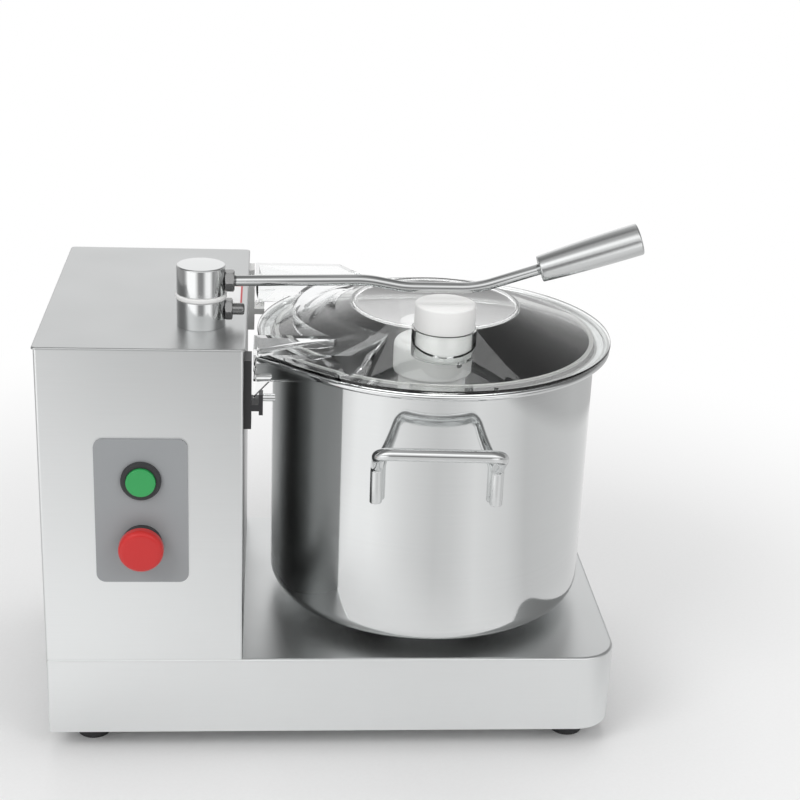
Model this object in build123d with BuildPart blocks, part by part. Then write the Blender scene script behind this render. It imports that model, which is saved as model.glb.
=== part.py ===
from build123d import *
import math
import os

# Tabletop bowl cutter. +Z is up, the floor is Z = 0, the front is -Y and the drive column
# stands at -X of the bowl. All sizes are millimetres.

# ---------------------------------------------------------------- stand and base
foot_height = 20.0
foot_radius = 17.0
foot_taper = 2.5
foot_inset = 36.0
foot_screw_radius = 3.0
foot_screw_depth = 9.0
foot_screw_recess = 5.5
base_height = 73.0
body_depth = 293.0
base_corner = 34.0
bend = 2.5
sheet = 1.5
bottom_plate_gap = 0.5
base_past_rim = 5.0

# ---------------------------------------------------------------- column
column_gap = 10.5
column_width = 170.0
column_above_rim = 33.5
cover_thickness = 2.0
cover_round = 1.4
cover_overhang = 1.5
cover_lip = 10.0
cover_lip_gap = 0.4
duct_margin = 22.0
rear_window_margin = 14.0
rear_panel_lap = 9.0
louvre_count = 7
louvre_pitch = 13.0
louvre_width = 96.0
louvre_height = 4.0
louvre_above_middle = 64.6
panel_screw_radius = 3.4
panel_screw_head = 2.0

# ---------------------------------------------------------------- bowl
bowl_height = 243.0
bowl_radius = 146.5
bowl_wall = 1.5
bowl_floor_bend = 16.0
rim_overhang = 13.5
rim_bead = 3.05
rim_bend = 4.0
chimney_radius = 22.5
chimney_height = 150.0
chimney_bend = 5.0
bowl_turn = -2.6
foot_ring_radius = 63.5
foot_ring_wall = 3.0
foot_ring_gap = 1.0
bayonet_travel = 24.0

# ---------------------------------------------------------------- bowl handles
handle_bar = 5.5
handle_half_span = 51.5
handle_leg_low = 105.0
handle_leg_high = 72.0
handle_bar_drop = 45.0
handle_standoff = 33.5
handle_bend_radius = 11.0
handle_weld_sink = 1.2

# ---------------------------------------------------------------- bowl seat and spindle
seat_height = 12.0
seat_radius = 60.0
seat_gap = 0.4
spigot_height = 32.0
spigot_gap = 0.5
seat_pin_radius = 2.5
seat_pin_length = 6.0
seat_screw_radius = 3.0
seat_screw_circle = 44.0
spindle_radius = 10.0
spindle_nose = 36.0
spindle_nose_round = 1.0
spindle_flat = 8.0
spindle_passage_gap = 1.5
running_gap = 0.05
bearing_radius = 23.5
bearing_width = 14.0
bearing_groove_half = 2.7
bearing_groove_depth = 1.3
housing_wall = 9.0
housing_flange = 52.0
housing_flange_thickness = 7.0
housing_lip = 3.0
housing_bolt_radius = 3.0
housing_bolt_head = 5.1
housing_bolt_head_height = 4.2

# ---------------------------------------------------------------- blades
hub_radius = 31.0
hub_floor_gap = 3.0
chimney_gap = 1.5
knob_radius = 36.0
knob_height = 32.0
knob_below_rim = 6.0
knob_round = 7.0
knob_roof = 7.2
blade_wall_gap = 6.0
blade_thickness = 3.0
blade_root = 34.0
blade_tip_turn = 36.0
blade_tip_turn_spread = 9.0
blade_bevel_width = 7.0
blade_lead_inset = 3.4
blade_back_inset = 6.8
blade_back_share = 0.62
blade_edge = 0.6
blade_boss = 6.0
upper_blade_step = 34.0
upper_blade_angle = 90.0
set_screw_radius = 3.0
set_screw_angle = -54.0

# ---------------------------------------------------------------- lid
lid_wall = 3.0
lid_seat_gap = 0.4
lid_disc_radius = 76.5
lid_disc_height = 29.5
lid_flange_top = 3.9
lid_bend = 5.0
disc_bead_height = 1.0
disc_bead_width = 2.2
seal_width = 4.0
seal_depth = 2.0
yoke_top = 24.3
yoke_wall = 3.0
yoke_arc_inset = 16.0
yoke_end_angle = 58.4
yoke_bracket_gap = 1.4
yoke_past_bracket = 4.5
yoke_arm_width = 50.0
yoke_above_rim = 0.6
yoke_rim_gap = 0.8
yoke_bond_gap = 0.1
lug_width = 16.0
lug_drop = 17.3
lug_thickness = 5.0
lug_inset = 9.0
pip_radius = 2.0
pip_height = 1.2
pip_circle = 157.0
pip_angle = -76.0

# ---------------------------------------------------------------- feed collar and plug
lever_y = -83.0
collar_radius = 28.0
collar_bore = 25.6
collar_above_disc = 3.8
collar_above_rim = 8.0
plug_cap_radius = 26.2
plug_cap_height = 22.0
plug_cap_round = 1.5
plug_seat_gap = 0.3
plug_neck_radius = 24.2
plug_neck_length = 25.0
plug_wall = 3.0

# ---------------------------------------------------------------- lid brackets on the column
bracket_thickness = 6.3
bracket_width = 24.0
bracket_top = 21.5
bracket_bottom = 39.0
bracket_inset = 18.0
bracket_arm_reach = 15.9
bracket_arm_thickness = 5.5
bracket_arm_gap = 0.8
bracket_lip = 3.4
bracket_lip_height = 9.0
bracket_pin_radius = 3.2
bracket_pin_length = 10.0
bracket_pin_inset = 6.0
bracket_pin_drop = 4.3
bracket_pin_neck = 1.6
bracket_screw_radius = 3.2
bracket_screw_from_top = 9.6
bracket_screw_from_bottom = 6.4

# ---------------------------------------------------------------- lever post and lever
post_from_column = 37.0
post_radius = 20.6
post_lower_height = 23.9
post_washer_thickness = 4.4
post_washer_proud = 1.2
post_upper_height = 24.4
post_round = 1.2
post_stack_gap = 0.1
pivot_radius = 6.0
pivot_flange_radius = 14.0
pivot_flange_thickness = 4.0
rod_radius = 4.7
rod_root_height = 72.0
rod_knee_height = 75.0
rod_low_height = 69.2
rod_knee = 68.0
rod_low_start = 36.0
rod_low_end = 26.0
rod_slope = 18.5
rod_bend_radius = 90.0
rod_in_head = 12.0
rod_in_grip = 20.0
lock_nut_flats = 16.5
lock_nut_length = 7.5
stub_height = 14.0
stub_radius = 5.0
stub_nut_length = 6.0
stub_length = 16.0
stub_round = 1.6
grip_start = 79.0
grip_length = 88.6
grip_narrow = 11.3
grip_wide = 13.7
grip_belly = 13.2
grip_round = 2.0

# ---------------------------------------------------------------- drive
motor_radius = 60.0
motor_length = 150.0
motor_flange_radius = 72.0
motor_flange_thickness = 9.0
motor_bell = 14.0
fin_count = 20
fin_height = 5.0
fin_thickness = 3.0
fan_cowl_height = 34.0
fan_cowl_wall = 1.5
fan_radius = 50.0
fan_blade_count = 6
fan_blade_thickness = 2.2
cowl_slot_circle = 30.0
cowl_slot_length = 30.0
cowl_slot_count = 12
motor_plate_thickness = 6.0
motor_plate_overlap = 14.0
motor_shaft_radius = 9.5
motor_shaft_gap = 0.6
motor_bolt_radius = 4.0
motor_bolt_head = 6.4
motor_bolt_head_height = 5.2
terminal_box_width = 64.0
terminal_box_height = 46.0
terminal_box_depth = 23.0
pulley_bottom = 28.0
pulley_width = 14.0
pulley_flange = 1.5
pulley_flange_height = 3.0
motor_pulley_radius = 26.0
spindle_pulley_radius = 52.0
pulley_hole_radius = 10.5
pulley_hole_circle = 31.0
pulley_hole_count = 5
belt_thickness = 4.0
belt_gap = 0.3
belt_side_gap = 0.6

# ---------------------------------------------------------------- controls and electrics
panel_width = 78.0
panel_height = 132.0
panel_thickness = 1.5
panel_corner = 8.0
panel_below_rim = 112.0
button_spacing = 58.0
bezel_radius = 17.0
bezel_height = 4.0
bezel_chamfer = 1.3
button_radius = 12.5
button_gap = 0.4
button_stem = 7.0
button_proud = 3.0
button_round = 1.0
stop_radius = 19.0
stop_height = 9.0
stop_round = 4.4
button_travel = 3.5
contact_block_size = 26.0
contact_block_depth = 34.0
contact_block_round = 1.6
contact_gap = 6.5
control_box_width = 80.0
control_box_height = 70.0
control_box_depth = 16.0
control_box_from_back = 57.7
capacitor_radius = 17.5
capacitor_length = 70.0
capacitor_from_wall = 3.5
gland_bore = 5.0
gland_radius = 9.5
gland_length = 17.0
gland_nut_flats = 22.0
gland_nut_length = 6.0
gland_height = 128.0
gland_from_side = 34.0
switch_length = 28.0
switch_height = 16.0
switch_width = 10.0
switch_round = 1.0
switch_from_post = 28.0

# ---------------------------------------------------------------- places worked out from the sizes
rod_rise = math.tan(math.radians(rod_slope))
grip_start_height = rod_low_height + (grip_start - rod_low_end) * rod_rise
grip_x = math.cos(math.radians(rod_slope))
grip_z = math.sin(math.radians(rod_slope))
rim_radius = bowl_radius + rim_overhang
axis_to_column = rim_radius + column_gap
axis_to_base_end = rim_radius + base_past_rim
lever_reach = grip_start + grip_length * grip_x + grip_wide * grip_z
body_reach = axis_to_column + column_width
axis_x = (body_reach - lever_reach) / 2
column_right = axis_x - axis_to_column
column_left = column_right - column_width
column_x = (column_left + column_right) / 2
base_right = axis_x + axis_to_base_end
base_x = (column_left + base_right) / 2
base_length = base_right - column_left
body_front = -body_depth / 2
body_back = body_depth / 2
base_top = foot_height + base_height
bowl_bottom = base_top + seat_height
rim_top = bowl_bottom + bowl_height
bowl_floor_top = bowl_bottom + bowl_wall
bowl_inner = bowl_radius - bowl_wall
chimney_inner = chimney_radius - bowl_wall
handle_reach = bowl_radius + handle_standoff
blade_reach = bowl_inner - blade_wall_gap
lid_cone_radius = bowl_inner
yoke_arc_radius = lid_cone_radius - yoke_arc_inset
yoke_reach = axis_to_column - bracket_thickness - yoke_bracket_gap
bracket_half_y = body_depth / 2 - bracket_inset
yoke_half_outer = bracket_half_y + yoke_past_bracket
yoke_half_inner = yoke_half_outer - yoke_arm_width
chimney_top = bowl_bottom + chimney_height
column_top = rim_top + column_above_rim
shell_top = column_top - cover_thickness
column_mid = (base_top + shell_top) / 2
post_x = column_right - post_from_column
knob_top = rim_top - knob_below_rim
knob_bottom = knob_top - knob_height
hub_bottom = bowl_floor_top + hub_floor_gap
lower_blade_z = hub_bottom
upper_blade_z = lower_blade_z + upper_blade_step
spindle_top = knob_top - knob_roof
housing_top = base_top - sheet
housing_bottom = pulley_bottom + pulley_width + 2 * pulley_flange_height
pulley_top = pulley_bottom + pulley_width
motor_plate_top = base_top + motor_plate_thickness
motor_top = motor_plate_top + motor_flange_thickness + motor_length
cowl_top = motor_top + fan_cowl_height
post_base = column_top
washer_base = post_base + post_lower_height
head_base = washer_base + post_washer_thickness + post_stack_gap
collar_top = rim_top + lid_disc_height + collar_above_disc
plug_base = collar_top + plug_seat_gap
panel_z = rim_top - panel_below_rim
start_z = panel_z + button_spacing / 2
stop_z = panel_z - button_spacing / 2
yoke_base = rim_top + yoke_above_rim
bracket_arm_top = yoke_base - lug_drop - bracket_arm_gap

axis_line = Axis((axis_x, 0, 0), (0, 0, 1))
axis_section = Plane(origin=(axis_x, 0, 0), x_dir=(1, 0, 0), z_dir=(0, -1, 0))
motor_section = Plane(origin=(column_x, 0, 0), x_dir=(1, 0, 0), z_dir=(0, -1, 0))
motor_line = Axis((column_x, 0, 0), (0, 0, 1))
foot_places = [
    (x, y)
    for x in (column_left + foot_inset, base_right - foot_inset)
    for y in (body_front + foot_inset, body_back - foot_inset)
]


def at_height(z, x=axis_x, y=0.0):
    """Horizontal plane at one height, centred on the bowl axis unless told otherwise."""
    return Plane(origin=(x, y, z))


def facing_front(y, x=axis_x, z=0.0):
    """Upright plane that faces -Y, with local X to the right and local Y up."""
    return Plane(origin=(x, y, z), x_dir=(1, 0, 0), z_dir=(0, -1, 0))


def facing_right(x, y=0.0, z=0.0):
    """Upright plane that faces +X, with local X along +Y and local Y up."""
    return Plane(origin=(x, y, z), x_dir=(0, 1, 0), z_dir=(1, 0, 0))


def finish(piece, label):
    """Names one finished piece and writes it to its own file."""
    piece.part.label = label
    export_step(piece.part, f"parts/{label}.step")


os.makedirs("parts", exist_ok=True)

# ================================================================ base
with BuildPart() as base_shell:
    with BuildSketch(at_height(foot_height, base_x)) as base_plan:
        Rectangle(base_length, body_depth)
        fillet(base_plan.vertices().group_by(Axis.X)[-1], base_corner)
        fillet(base_plan.vertices().group_by(Axis.X)[0], bend)
    extrude(amount=base_height)
    fillet(base_shell.faces().sort_by(Axis.Z)[-1].edges(), bend)
    offset(amount=-sheet, openings=base_shell.faces().sort_by(Axis.Z)[0])
    with BuildSketch(at_height(base_top)):
        Circle(spindle_radius + spindle_passage_gap)
    extrude(amount=-2 * sheet, mode=Mode.SUBTRACT)
    with BuildSketch(at_height(base_top, column_x)):
        Rectangle(column_width - 2 * duct_margin, column_width - 2 * duct_margin)
    extrude(amount=-2 * sheet, mode=Mode.SUBTRACT)
    with BuildSketch(at_height(base_top)):
        with PolarLocations(seat_screw_circle, 3):
            Circle(seat_screw_radius)
        with PolarLocations(seat_screw_circle, 3, start_angle=60):
            Circle(housing_bolt_radius)
    extrude(amount=-2 * sheet, mode=Mode.SUBTRACT)
finish(base_shell, "base_shell")

with BuildPart() as bottom_plate:
    with BuildSketch(at_height(foot_height, base_x)) as plate_plan:
        Rectangle(
            base_length - 2 * (sheet + bottom_plate_gap),
            body_depth - 2 * (sheet + bottom_plate_gap),
        )
        fillet(plate_plan.vertices().group_by(Axis.X)[-1], base_corner - sheet)
        with Locations((0, 0)):
            with GridLocations(0, louvre_pitch, 1, louvre_count):
                SlotOverall(louvre_width, louvre_height, mode=Mode.SUBTRACT)
        with Locations(*[(x - base_x, y) for x, y in foot_places]):
            Circle(foot_screw_radius, mode=Mode.SUBTRACT)
    extrude(amount=sheet)
finish(bottom_plate, "bottom_plate")

with BuildPart() as feet:
    for foot_x, foot_y in foot_places:
        with BuildSketch(at_height(0, foot_x, foot_y)):
            Circle(foot_radius - foot_taper)
        with BuildSketch(at_height(foot_height, foot_x, foot_y)):
            Circle(foot_radius)
        loft()
        with BuildSketch(at_height(0, foot_x, foot_y)):
            Circle(2 * foot_screw_radius)
        extrude(amount=foot_screw_recess, mode=Mode.SUBTRACT)
        with BuildSketch(at_height(0, foot_x, foot_y)):
            Circle(foot_screw_radius)
        extrude(amount=foot_height, mode=Mode.SUBTRACT)
finish(feet, "feet")

with BuildPart() as foot_screws:
    for foot_x, foot_y in foot_places:
        with BuildSketch(at_height(foot_screw_recess, foot_x, foot_y)):
            Circle(foot_screw_radius)
        extrude(amount=foot_height - foot_screw_recess + foot_screw_depth)
        with BuildSketch(at_height(foot_screw_recess, foot_x, foot_y)):
            Circle(2 * foot_screw_radius)
        extrude(amount=-foot_screw_recess / 2)
finish(foot_screws, "foot_screws")

# ================================================================ column
with BuildPart() as column_shell:
    with BuildSketch(at_height(base_top, column_x)) as column_plan:
        Rectangle(column_width, body_depth)
        fillet(column_plan.vertices(), bend)
        offset(amount=-sheet, mode=Mode.SUBTRACT)
    extrude(amount=shell_top - base_top)
    with BuildSketch(facing_front(body_back + sheet, column_x, column_mid)):
        Rectangle(
            column_width - 2 * rear_window_margin,
            shell_top - base_top - 2 * rear_window_margin,
        )
    extrude(amount=3 * sheet, mode=Mode.SUBTRACT)
    for hole_z in (start_z, stop_z):
        with BuildSketch(facing_front(body_front, column_x, hole_z)):
            Circle(button_radius + button_gap)
        extrude(amount=-2 * sheet, mode=Mode.SUBTRACT)
finish(column_shell, "column_shell")

with BuildPart() as top_cover:
    with BuildSketch(at_height(shell_top, column_x)):
        RectangleRounded(
            column_width + 2 * cover_overhang,
            body_depth + 2 * cover_overhang,
            bend + cover_overhang,
        )
    extrude(amount=cover_thickness)
    fillet(top_cover.faces().sort_by(Axis.Z)[-1].edges(), cover_round)
    with BuildSketch(at_height(shell_top, column_x)) as lip_plan:
        lip_inset = 2 * (sheet + cover_lip_gap)
        Rectangle(column_width - lip_inset, body_depth - lip_inset)
        offset(amount=-sheet, mode=Mode.SUBTRACT)
    extrude(amount=-cover_lip)
    with BuildSketch(at_height(shell_top, post_x, lever_y)):
        Circle(pivot_radius)
    extrude(amount=cover_thickness, mode=Mode.SUBTRACT)
finish(top_cover, "top_cover")

window_height = shell_top - base_top - 2 * rear_window_margin
window_width = column_width - 2 * rear_window_margin
with BuildPart() as rear_panel:
    with BuildSketch(facing_front(body_back, column_x, column_mid)) as rear_plan:
        RectangleRounded(window_width + 2 * rear_panel_lap, window_height + 2 * rear_panel_lap, bend)
        with Locations((0, louvre_above_middle)):
            with GridLocations(0, louvre_pitch, 1, louvre_count):
                SlotOverall(louvre_width, louvre_height, mode=Mode.SUBTRACT)
        with Locations((window_width / 2 - gland_from_side, gland_height - column_mid)):
            Circle(gland_radius, mode=Mode.SUBTRACT)
    extrude(amount=-sheet)
    with BuildSketch(facing_front(body_back + sheet, column_x, column_mid)):
        with Locations((0, louvre_above_middle + louvre_height / 2)):
            with GridLocations(0, louvre_pitch, 1, louvre_count):
                Rectangle(louvre_width, sheet)
    extrude(amount=-3 * sheet)
finish(rear_panel, "rear_panel")

panel_screw_x = window_width / 2 + rear_panel_lap / 2
panel_screw_z = window_height / 2 + rear_panel_lap / 2
with BuildPart() as rear_panel_screws:
    with BuildSketch(facing_front(body_back + sheet, column_x, column_mid)):
        with GridLocations(2 * panel_screw_x, panel_screw_z, 2, 3):
            Circle(panel_screw_radius)
    extrude(amount=-panel_screw_head)
finish(rear_panel_screws, "rear_panel_screws")

# ================================================================ bowl
with BuildPart() as bowl:
    with BuildSketch(axis_section):
        with BuildLine():
            FilletPolyline(
                (chimney_inner, chimney_top),
                (chimney_inner, bowl_bottom),
                (bowl_radius, bowl_bottom),
                (bowl_radius, rim_top - rim_bead - bowl_wall / 2),
                (rim_radius - rim_bead, rim_top - rim_bead - bowl_wall / 2),
                radius=(chimney_bend, bowl_floor_bend, rim_bend),
            )
            offset(amount=bowl_wall, side=Side.LEFT)
        make_face()
        with Locations((rim_radius - rim_bead, rim_top - rim_bead)):
            Circle(rim_bead)
    revolve(axis=axis_line)
finish(bowl, "bowl")

with BuildPart() as bowl_foot_ring:
    with BuildSketch(at_height(bowl_bottom)):
        Circle(foot_ring_radius + foot_ring_wall)
        Circle(foot_ring_radius, mode=Mode.SUBTRACT)
    extrude(amount=-(seat_height - foot_ring_gap))
    slot_half = seat_pin_radius + foot_ring_gap
    slot_z = base_top + seat_height / 2
    for turn in (0, 120, 240):
        turn_start = math.radians(turn + 90)
        reach = 2 * foot_ring_radius
        swing = math.radians(bayonet_travel)
        spread = slot_half / foot_ring_radius
        with BuildSketch(at_height(slot_z - slot_half)):
            with BuildLine():
                Polyline(
                    (0, 0),
                    (reach * math.cos(turn_start + spread), reach * math.sin(turn_start + spread)),
                    (
                        reach * math.cos(turn_start - swing / 2),
                        reach * math.sin(turn_start - swing / 2),
                    ),
                    (
                        reach * math.cos(turn_start - swing - spread),
                        reach * math.sin(turn_start - swing - spread),
                    ),
                    close=True,
                )
            make_face()
        extrude(amount=2 * slot_half, mode=Mode.SUBTRACT)
        with BuildSketch(at_height(bowl_bottom - seat_height)):
            with PolarLocations(foot_ring_radius, 1, start_angle=turn + 90 - bayonet_travel):
                Rectangle(4 * foot_ring_wall, 2 * slot_half)
        extrude(amount=seat_height / 2, mode=Mode.SUBTRACT)
finish(bowl_foot_ring, "bowl_foot_ring")


for handle_name, handle_angle in (("front_handle", bowl_turn), ("rear_handle", 180 + bowl_turn)):
    leg_radius = math.sqrt(bowl_radius**2 - handle_half_span**2) + handle_bar - handle_weld_sink
    handle_frame = Plane(
        origin=(axis_x, 0, rim_top),
        x_dir=(math.cos(math.radians(handle_angle)), math.sin(math.radians(handle_angle)), 0),
        z_dir=(0, 0, 1),
    )
    with BuildPart() as bowl_handle:
        with BuildLine() as handle_path:
            FilletPolyline(
                *[
                    handle_frame.from_local_coords((side * handle_half_span, -reach, -drop))
                    for side, reach, drop in (
                        (-1, leg_radius, handle_leg_low),
                        (-1, leg_radius, handle_leg_high),
                        (-1, handle_reach, handle_bar_drop),
                        (1, handle_reach, handle_bar_drop),
                        (1, leg_radius, handle_leg_high),
                        (1, leg_radius, handle_leg_low),
                    )
                ],
                radius=handle_bend_radius,
            )
        with BuildSketch(Plane(handle_path.line @ 0, z_dir=handle_path.line % 0)):
            Circle(handle_bar)
        sweep()
        with BuildSketch(at_height(bowl_bottom)):
            Circle(bowl_radius)
        extrude(amount=bowl_height - 4 * rim_bead, mode=Mode.SUBTRACT)
    finish(bowl_handle, handle_name)

# ================================================================ bowl seat and spindle
with BuildPart() as bowl_seat:
    with BuildSketch(axis_section):
        with BuildLine():
            Polyline(
                (spindle_radius + spindle_passage_gap, base_top),
                (seat_radius, base_top),
                (seat_radius, bowl_bottom - seat_gap),
                (chimney_inner - spigot_gap, bowl_bottom - seat_gap),
                (chimney_inner - spigot_gap, bowl_bottom + spigot_height),
                (spindle_radius + spindle_passage_gap, bowl_bottom + spigot_height),
                close=True,
            )
        make_face()
    revolve(axis=axis_line)
    with BuildSketch(at_height(bowl_bottom)):
        with PolarLocations(seat_screw_circle, 3):
            Circle(seat_screw_radius)
    extrude(amount=-seat_height, mode=Mode.SUBTRACT)
finish(bowl_seat, "bowl_seat")

with BuildPart() as seat_screws:
    with BuildSketch(at_height(bowl_bottom - 3 * seat_gap)):
        with PolarLocations(seat_screw_circle, 3):
            Circle(seat_screw_radius)
    extrude(amount=-(seat_height + sheet + housing_flange_thickness - 3 * seat_gap))
finish(seat_screws, "seat_screws")

with BuildPart() as seat_pins:
    for turn in (0, 120, 240):
        pin_angle = math.radians(turn + 90)
        outward = Vector(math.cos(pin_angle), math.sin(pin_angle), 0)
        pin_start = Vector(axis_x, 0, base_top + seat_height / 2) + outward * seat_radius
        with BuildSketch(Plane(pin_start, z_dir=outward)):
            Circle(seat_pin_radius)
        extrude(amount=seat_pin_length)
        with BuildSketch(at_height(base_top)):
            Circle(seat_radius)
        extrude(amount=seat_height, mode=Mode.SUBTRACT)
finish(seat_pins, "seat_pins")

with BuildPart() as spindle_housing:
    with BuildSketch(axis_section):
        with BuildLine():
            Polyline(
                (bearing_radius, housing_bottom + housing_lip),
                (bearing_radius - housing_lip, housing_bottom + housing_lip),
                (bearing_radius - housing_lip, housing_bottom),
                (bearing_radius + housing_wall, housing_bottom),
                (bearing_radius + housing_wall, housing_top - housing_flange_thickness),
                (housing_flange, housing_top - housing_flange_thickness),
                (housing_flange, housing_top),
                (bearing_radius, housing_top),
                close=True,
            )
        make_face()
    revolve(axis=axis_line)
    with BuildSketch(at_height(housing_top)):
        with PolarLocations(seat_screw_circle, 3):
            Circle(seat_screw_radius)
        with PolarLocations(seat_screw_circle, 3, start_angle=60):
            Circle(housing_bolt_radius)
    extrude(amount=-housing_flange_thickness, mode=Mode.SUBTRACT)
finish(spindle_housing, "spindle_housing")

with BuildPart() as housing_bolts:
    with BuildSketch(at_height(base_top)):
        with PolarLocations(seat_screw_circle, 3, start_angle=60):
            Circle(housing_bolt_radius)
    extrude(amount=-(sheet + housing_flange_thickness))
    with BuildSketch(at_height(housing_top - housing_flange_thickness)):
        with PolarLocations(seat_screw_circle, 3, start_angle=60):
            RegularPolygon(housing_bolt_head, 6, major_radius=False)
    extrude(amount=-housing_bolt_head_height)
finish(housing_bolts, "housing_bolts")

ring_mid = (bearing_radius + spindle_radius) / 2
with BuildPart() as spindle_bearings:
    for bearing_z in (housing_bottom + housing_lip, housing_top - bearing_width):
        with BuildSketch(at_height(bearing_z)):
            Circle(bearing_radius)
            Circle(spindle_radius + running_gap, mode=Mode.SUBTRACT)
        extrude(amount=bearing_width)
        for groove_z in (bearing_z, bearing_z + bearing_width - bearing_groove_depth):
            with BuildSketch(at_height(groove_z)):
                Circle(ring_mid + bearing_groove_half)
                Circle(ring_mid - bearing_groove_half, mode=Mode.SUBTRACT)
            extrude(amount=bearing_groove_depth, mode=Mode.SUBTRACT)
finish(spindle_bearings, "spindle_bearings")

with BuildPart() as spindle:
    with BuildSketch(at_height(pulley_bottom)):
        Circle(spindle_radius)
    extrude(amount=spindle_top - pulley_bottom)
    fillet(spindle.faces().sort_by(Axis.Z)[-1].edges(), spindle_nose_round)
    with BuildSketch(at_height(spindle_top - spindle_nose)):
        for flat_side in (-1, 1):
            with Locations((0, flat_side * (spindle_flat + spindle_radius))):
                Rectangle(3 * spindle_radius, 2 * spindle_radius)
    extrude(amount=spindle_nose, mode=Mode.SUBTRACT)
finish(spindle, "spindle")


def pulley_profile(rim, bore):
    """Half section of a flanged flat-belt pulley: (radius, height) corners from bore to rim."""
    edge = rim + pulley_flange_height
    return [
        (bore, pulley_bottom),
        (edge, pulley_bottom),
        (edge, pulley_bottom + pulley_flange),
        (rim, pulley_bottom + pulley_flange),
        (rim, pulley_top - pulley_flange),
        (edge, pulley_top - pulley_flange),
        (edge, pulley_top),
        (bore, pulley_top),
    ]


with BuildPart() as spindle_pulley:
    with BuildSketch(axis_section):
        with BuildLine():
            Polyline(*pulley_profile(spindle_pulley_radius, spindle_radius), close=True)
        make_face()
    revolve(axis=axis_line)
    with BuildSketch(at_height(pulley_bottom)):
        with PolarLocations(pulley_hole_circle, pulley_hole_count):
            Circle(pulley_hole_radius)
    extrude(amount=pulley_width, mode=Mode.SUBTRACT)
finish(spindle_pulley, "spindle_pulley")

with BuildPart() as motor_pulley:
    with BuildSketch(motor_section):
        with BuildLine():
            Polyline(*pulley_profile(motor_pulley_radius, motor_shaft_radius), close=True)
        make_face()
    revolve(axis=motor_line)
finish(motor_pulley, "motor_pulley")

with BuildPart() as drive_belt:
    with BuildSketch(at_height(pulley_bottom + pulley_flange + belt_side_gap)) as belt_plan:
        with BuildSketch(mode=Mode.PRIVATE) as belt_inside:
            Circle(spindle_pulley_radius + belt_gap)
            with Locations((column_x - axis_x, 0)):
                Circle(motor_pulley_radius + belt_gap)
            make_hull()
        add(belt_inside.sketch)
        offset(amount=belt_thickness)
        add(belt_inside.sketch, mode=Mode.SUBTRACT)
    extrude(amount=pulley_width - 2 * (pulley_flange + belt_side_gap))
finish(drive_belt, "drive_belt")

# ================================================================ blade rotor
with BuildPart() as blade_hub:
    with BuildSketch(axis_section):
        with BuildLine():
            Polyline(
                (chimney_radius + chimney_gap, hub_bottom),
                (hub_radius, hub_bottom),
                (hub_radius, knob_bottom),
                (spindle_radius + running_gap, knob_bottom),
                (spindle_radius + running_gap, chimney_top + chimney_gap),
                (chimney_radius + chimney_gap, chimney_top + chimney_gap),
                close=True,
            )
        make_face()
    revolve(axis=axis_line)
finish(blade_hub, "blade_hub")


def polar_point(radius, degrees):
    """Point in the plan at a radius and an angle."""
    return (radius * math.cos(math.radians(degrees)), radius * math.sin(math.radians(degrees)))


def blade_arm():
    """Plan of one swept sickle arm, from inside the boss ring out to the bowl wall."""
    root = hub_radius + blade_boss / 2
    lead_tip = polar_point(blade_reach, -blade_tip_turn)
    back_tip = polar_point(blade_reach, -blade_tip_turn - blade_tip_turn_spread)
    with BuildSketch(mode=Mode.PRIVATE) as arm:
        with BuildLine():
            lead = RadiusArc((root - blade_lead_inset, blade_root / 2), lead_tip, blade_reach)
            Line(lead_tip, back_tip)
            back_root = (root - blade_back_inset, -blade_root / 2)
            back = RadiusArc(back_tip, back_root, -blade_reach * blade_back_share)
            Line(back @ 1, lead @ 0)
        make_face()
    return arm.sketch


for blade_name, blade_z, blade_angle in (
    ("lower_blade", lower_blade_z, 0.0),
    ("upper_blade", upper_blade_z, upper_blade_angle),
):
    with BuildPart() as s_blade:
        with BuildSketch(at_height(blade_z)):
            for half_turn in (0, 180):
                add(blade_arm(), rotation=blade_angle + half_turn)
            Circle(hub_radius + blade_boss)
        extrude(amount=blade_thickness)
        lead_edges = [
            edge
            for edge in s_blade.faces().sort_by(Axis.Z)[-1].edges().filter_by(GeomType.CIRCLE)
            if abs(edge.radius - blade_reach) < 1e-3
        ]
        chamfer(lead_edges, length=blade_thickness - blade_edge, length2=blade_bevel_width)
        with BuildSketch(at_height(blade_z)):
            Circle(hub_radius + blade_boss)
        extrude(amount=2 * blade_thickness)
        with BuildSketch(at_height(blade_z)):
            Circle(hub_radius)
        extrude(amount=2 * blade_thickness, mode=Mode.SUBTRACT)
    finish(s_blade, blade_name)

with BuildPart() as blade_knob:
    with BuildSketch(at_height(knob_bottom)):
        Circle(knob_radius)
    extrude(amount=knob_height)
    fillet(blade_knob.faces().sort_by(Axis.Z)[-1].edges(), knob_round)
    fillet(blade_knob.faces().sort_by(Axis.Z)[0].edges(), knob_round / 2)
    with BuildSketch(at_height(knob_bottom)):
        Circle(spindle_radius + running_gap)
    extrude(amount=spindle_top + running_gap - knob_bottom, mode=Mode.SUBTRACT)
    set_screw_plane = Plane(
        origin=(axis_x, 0, knob_bottom + knob_height / 2),
        z_dir=(
            math.cos(math.radians(set_screw_angle)),
            math.sin(math.radians(set_screw_angle)),
            0,
        ),
    )
    with BuildSketch(set_screw_plane):
        Circle(set_screw_radius)
    extrude(amount=2 * knob_radius, mode=Mode.SUBTRACT)
finish(blade_knob, "blade_knob")

with BuildPart() as knob_set_screw:
    with BuildSketch(set_screw_plane):
        Circle(set_screw_radius)
    extrude(amount=knob_radius)
    with BuildSketch(at_height(knob_bottom)):
        Circle(spindle_radius + running_gap)
    extrude(amount=knob_height, mode=Mode.SUBTRACT)
finish(knob_set_screw, "knob_set_screw")

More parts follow.
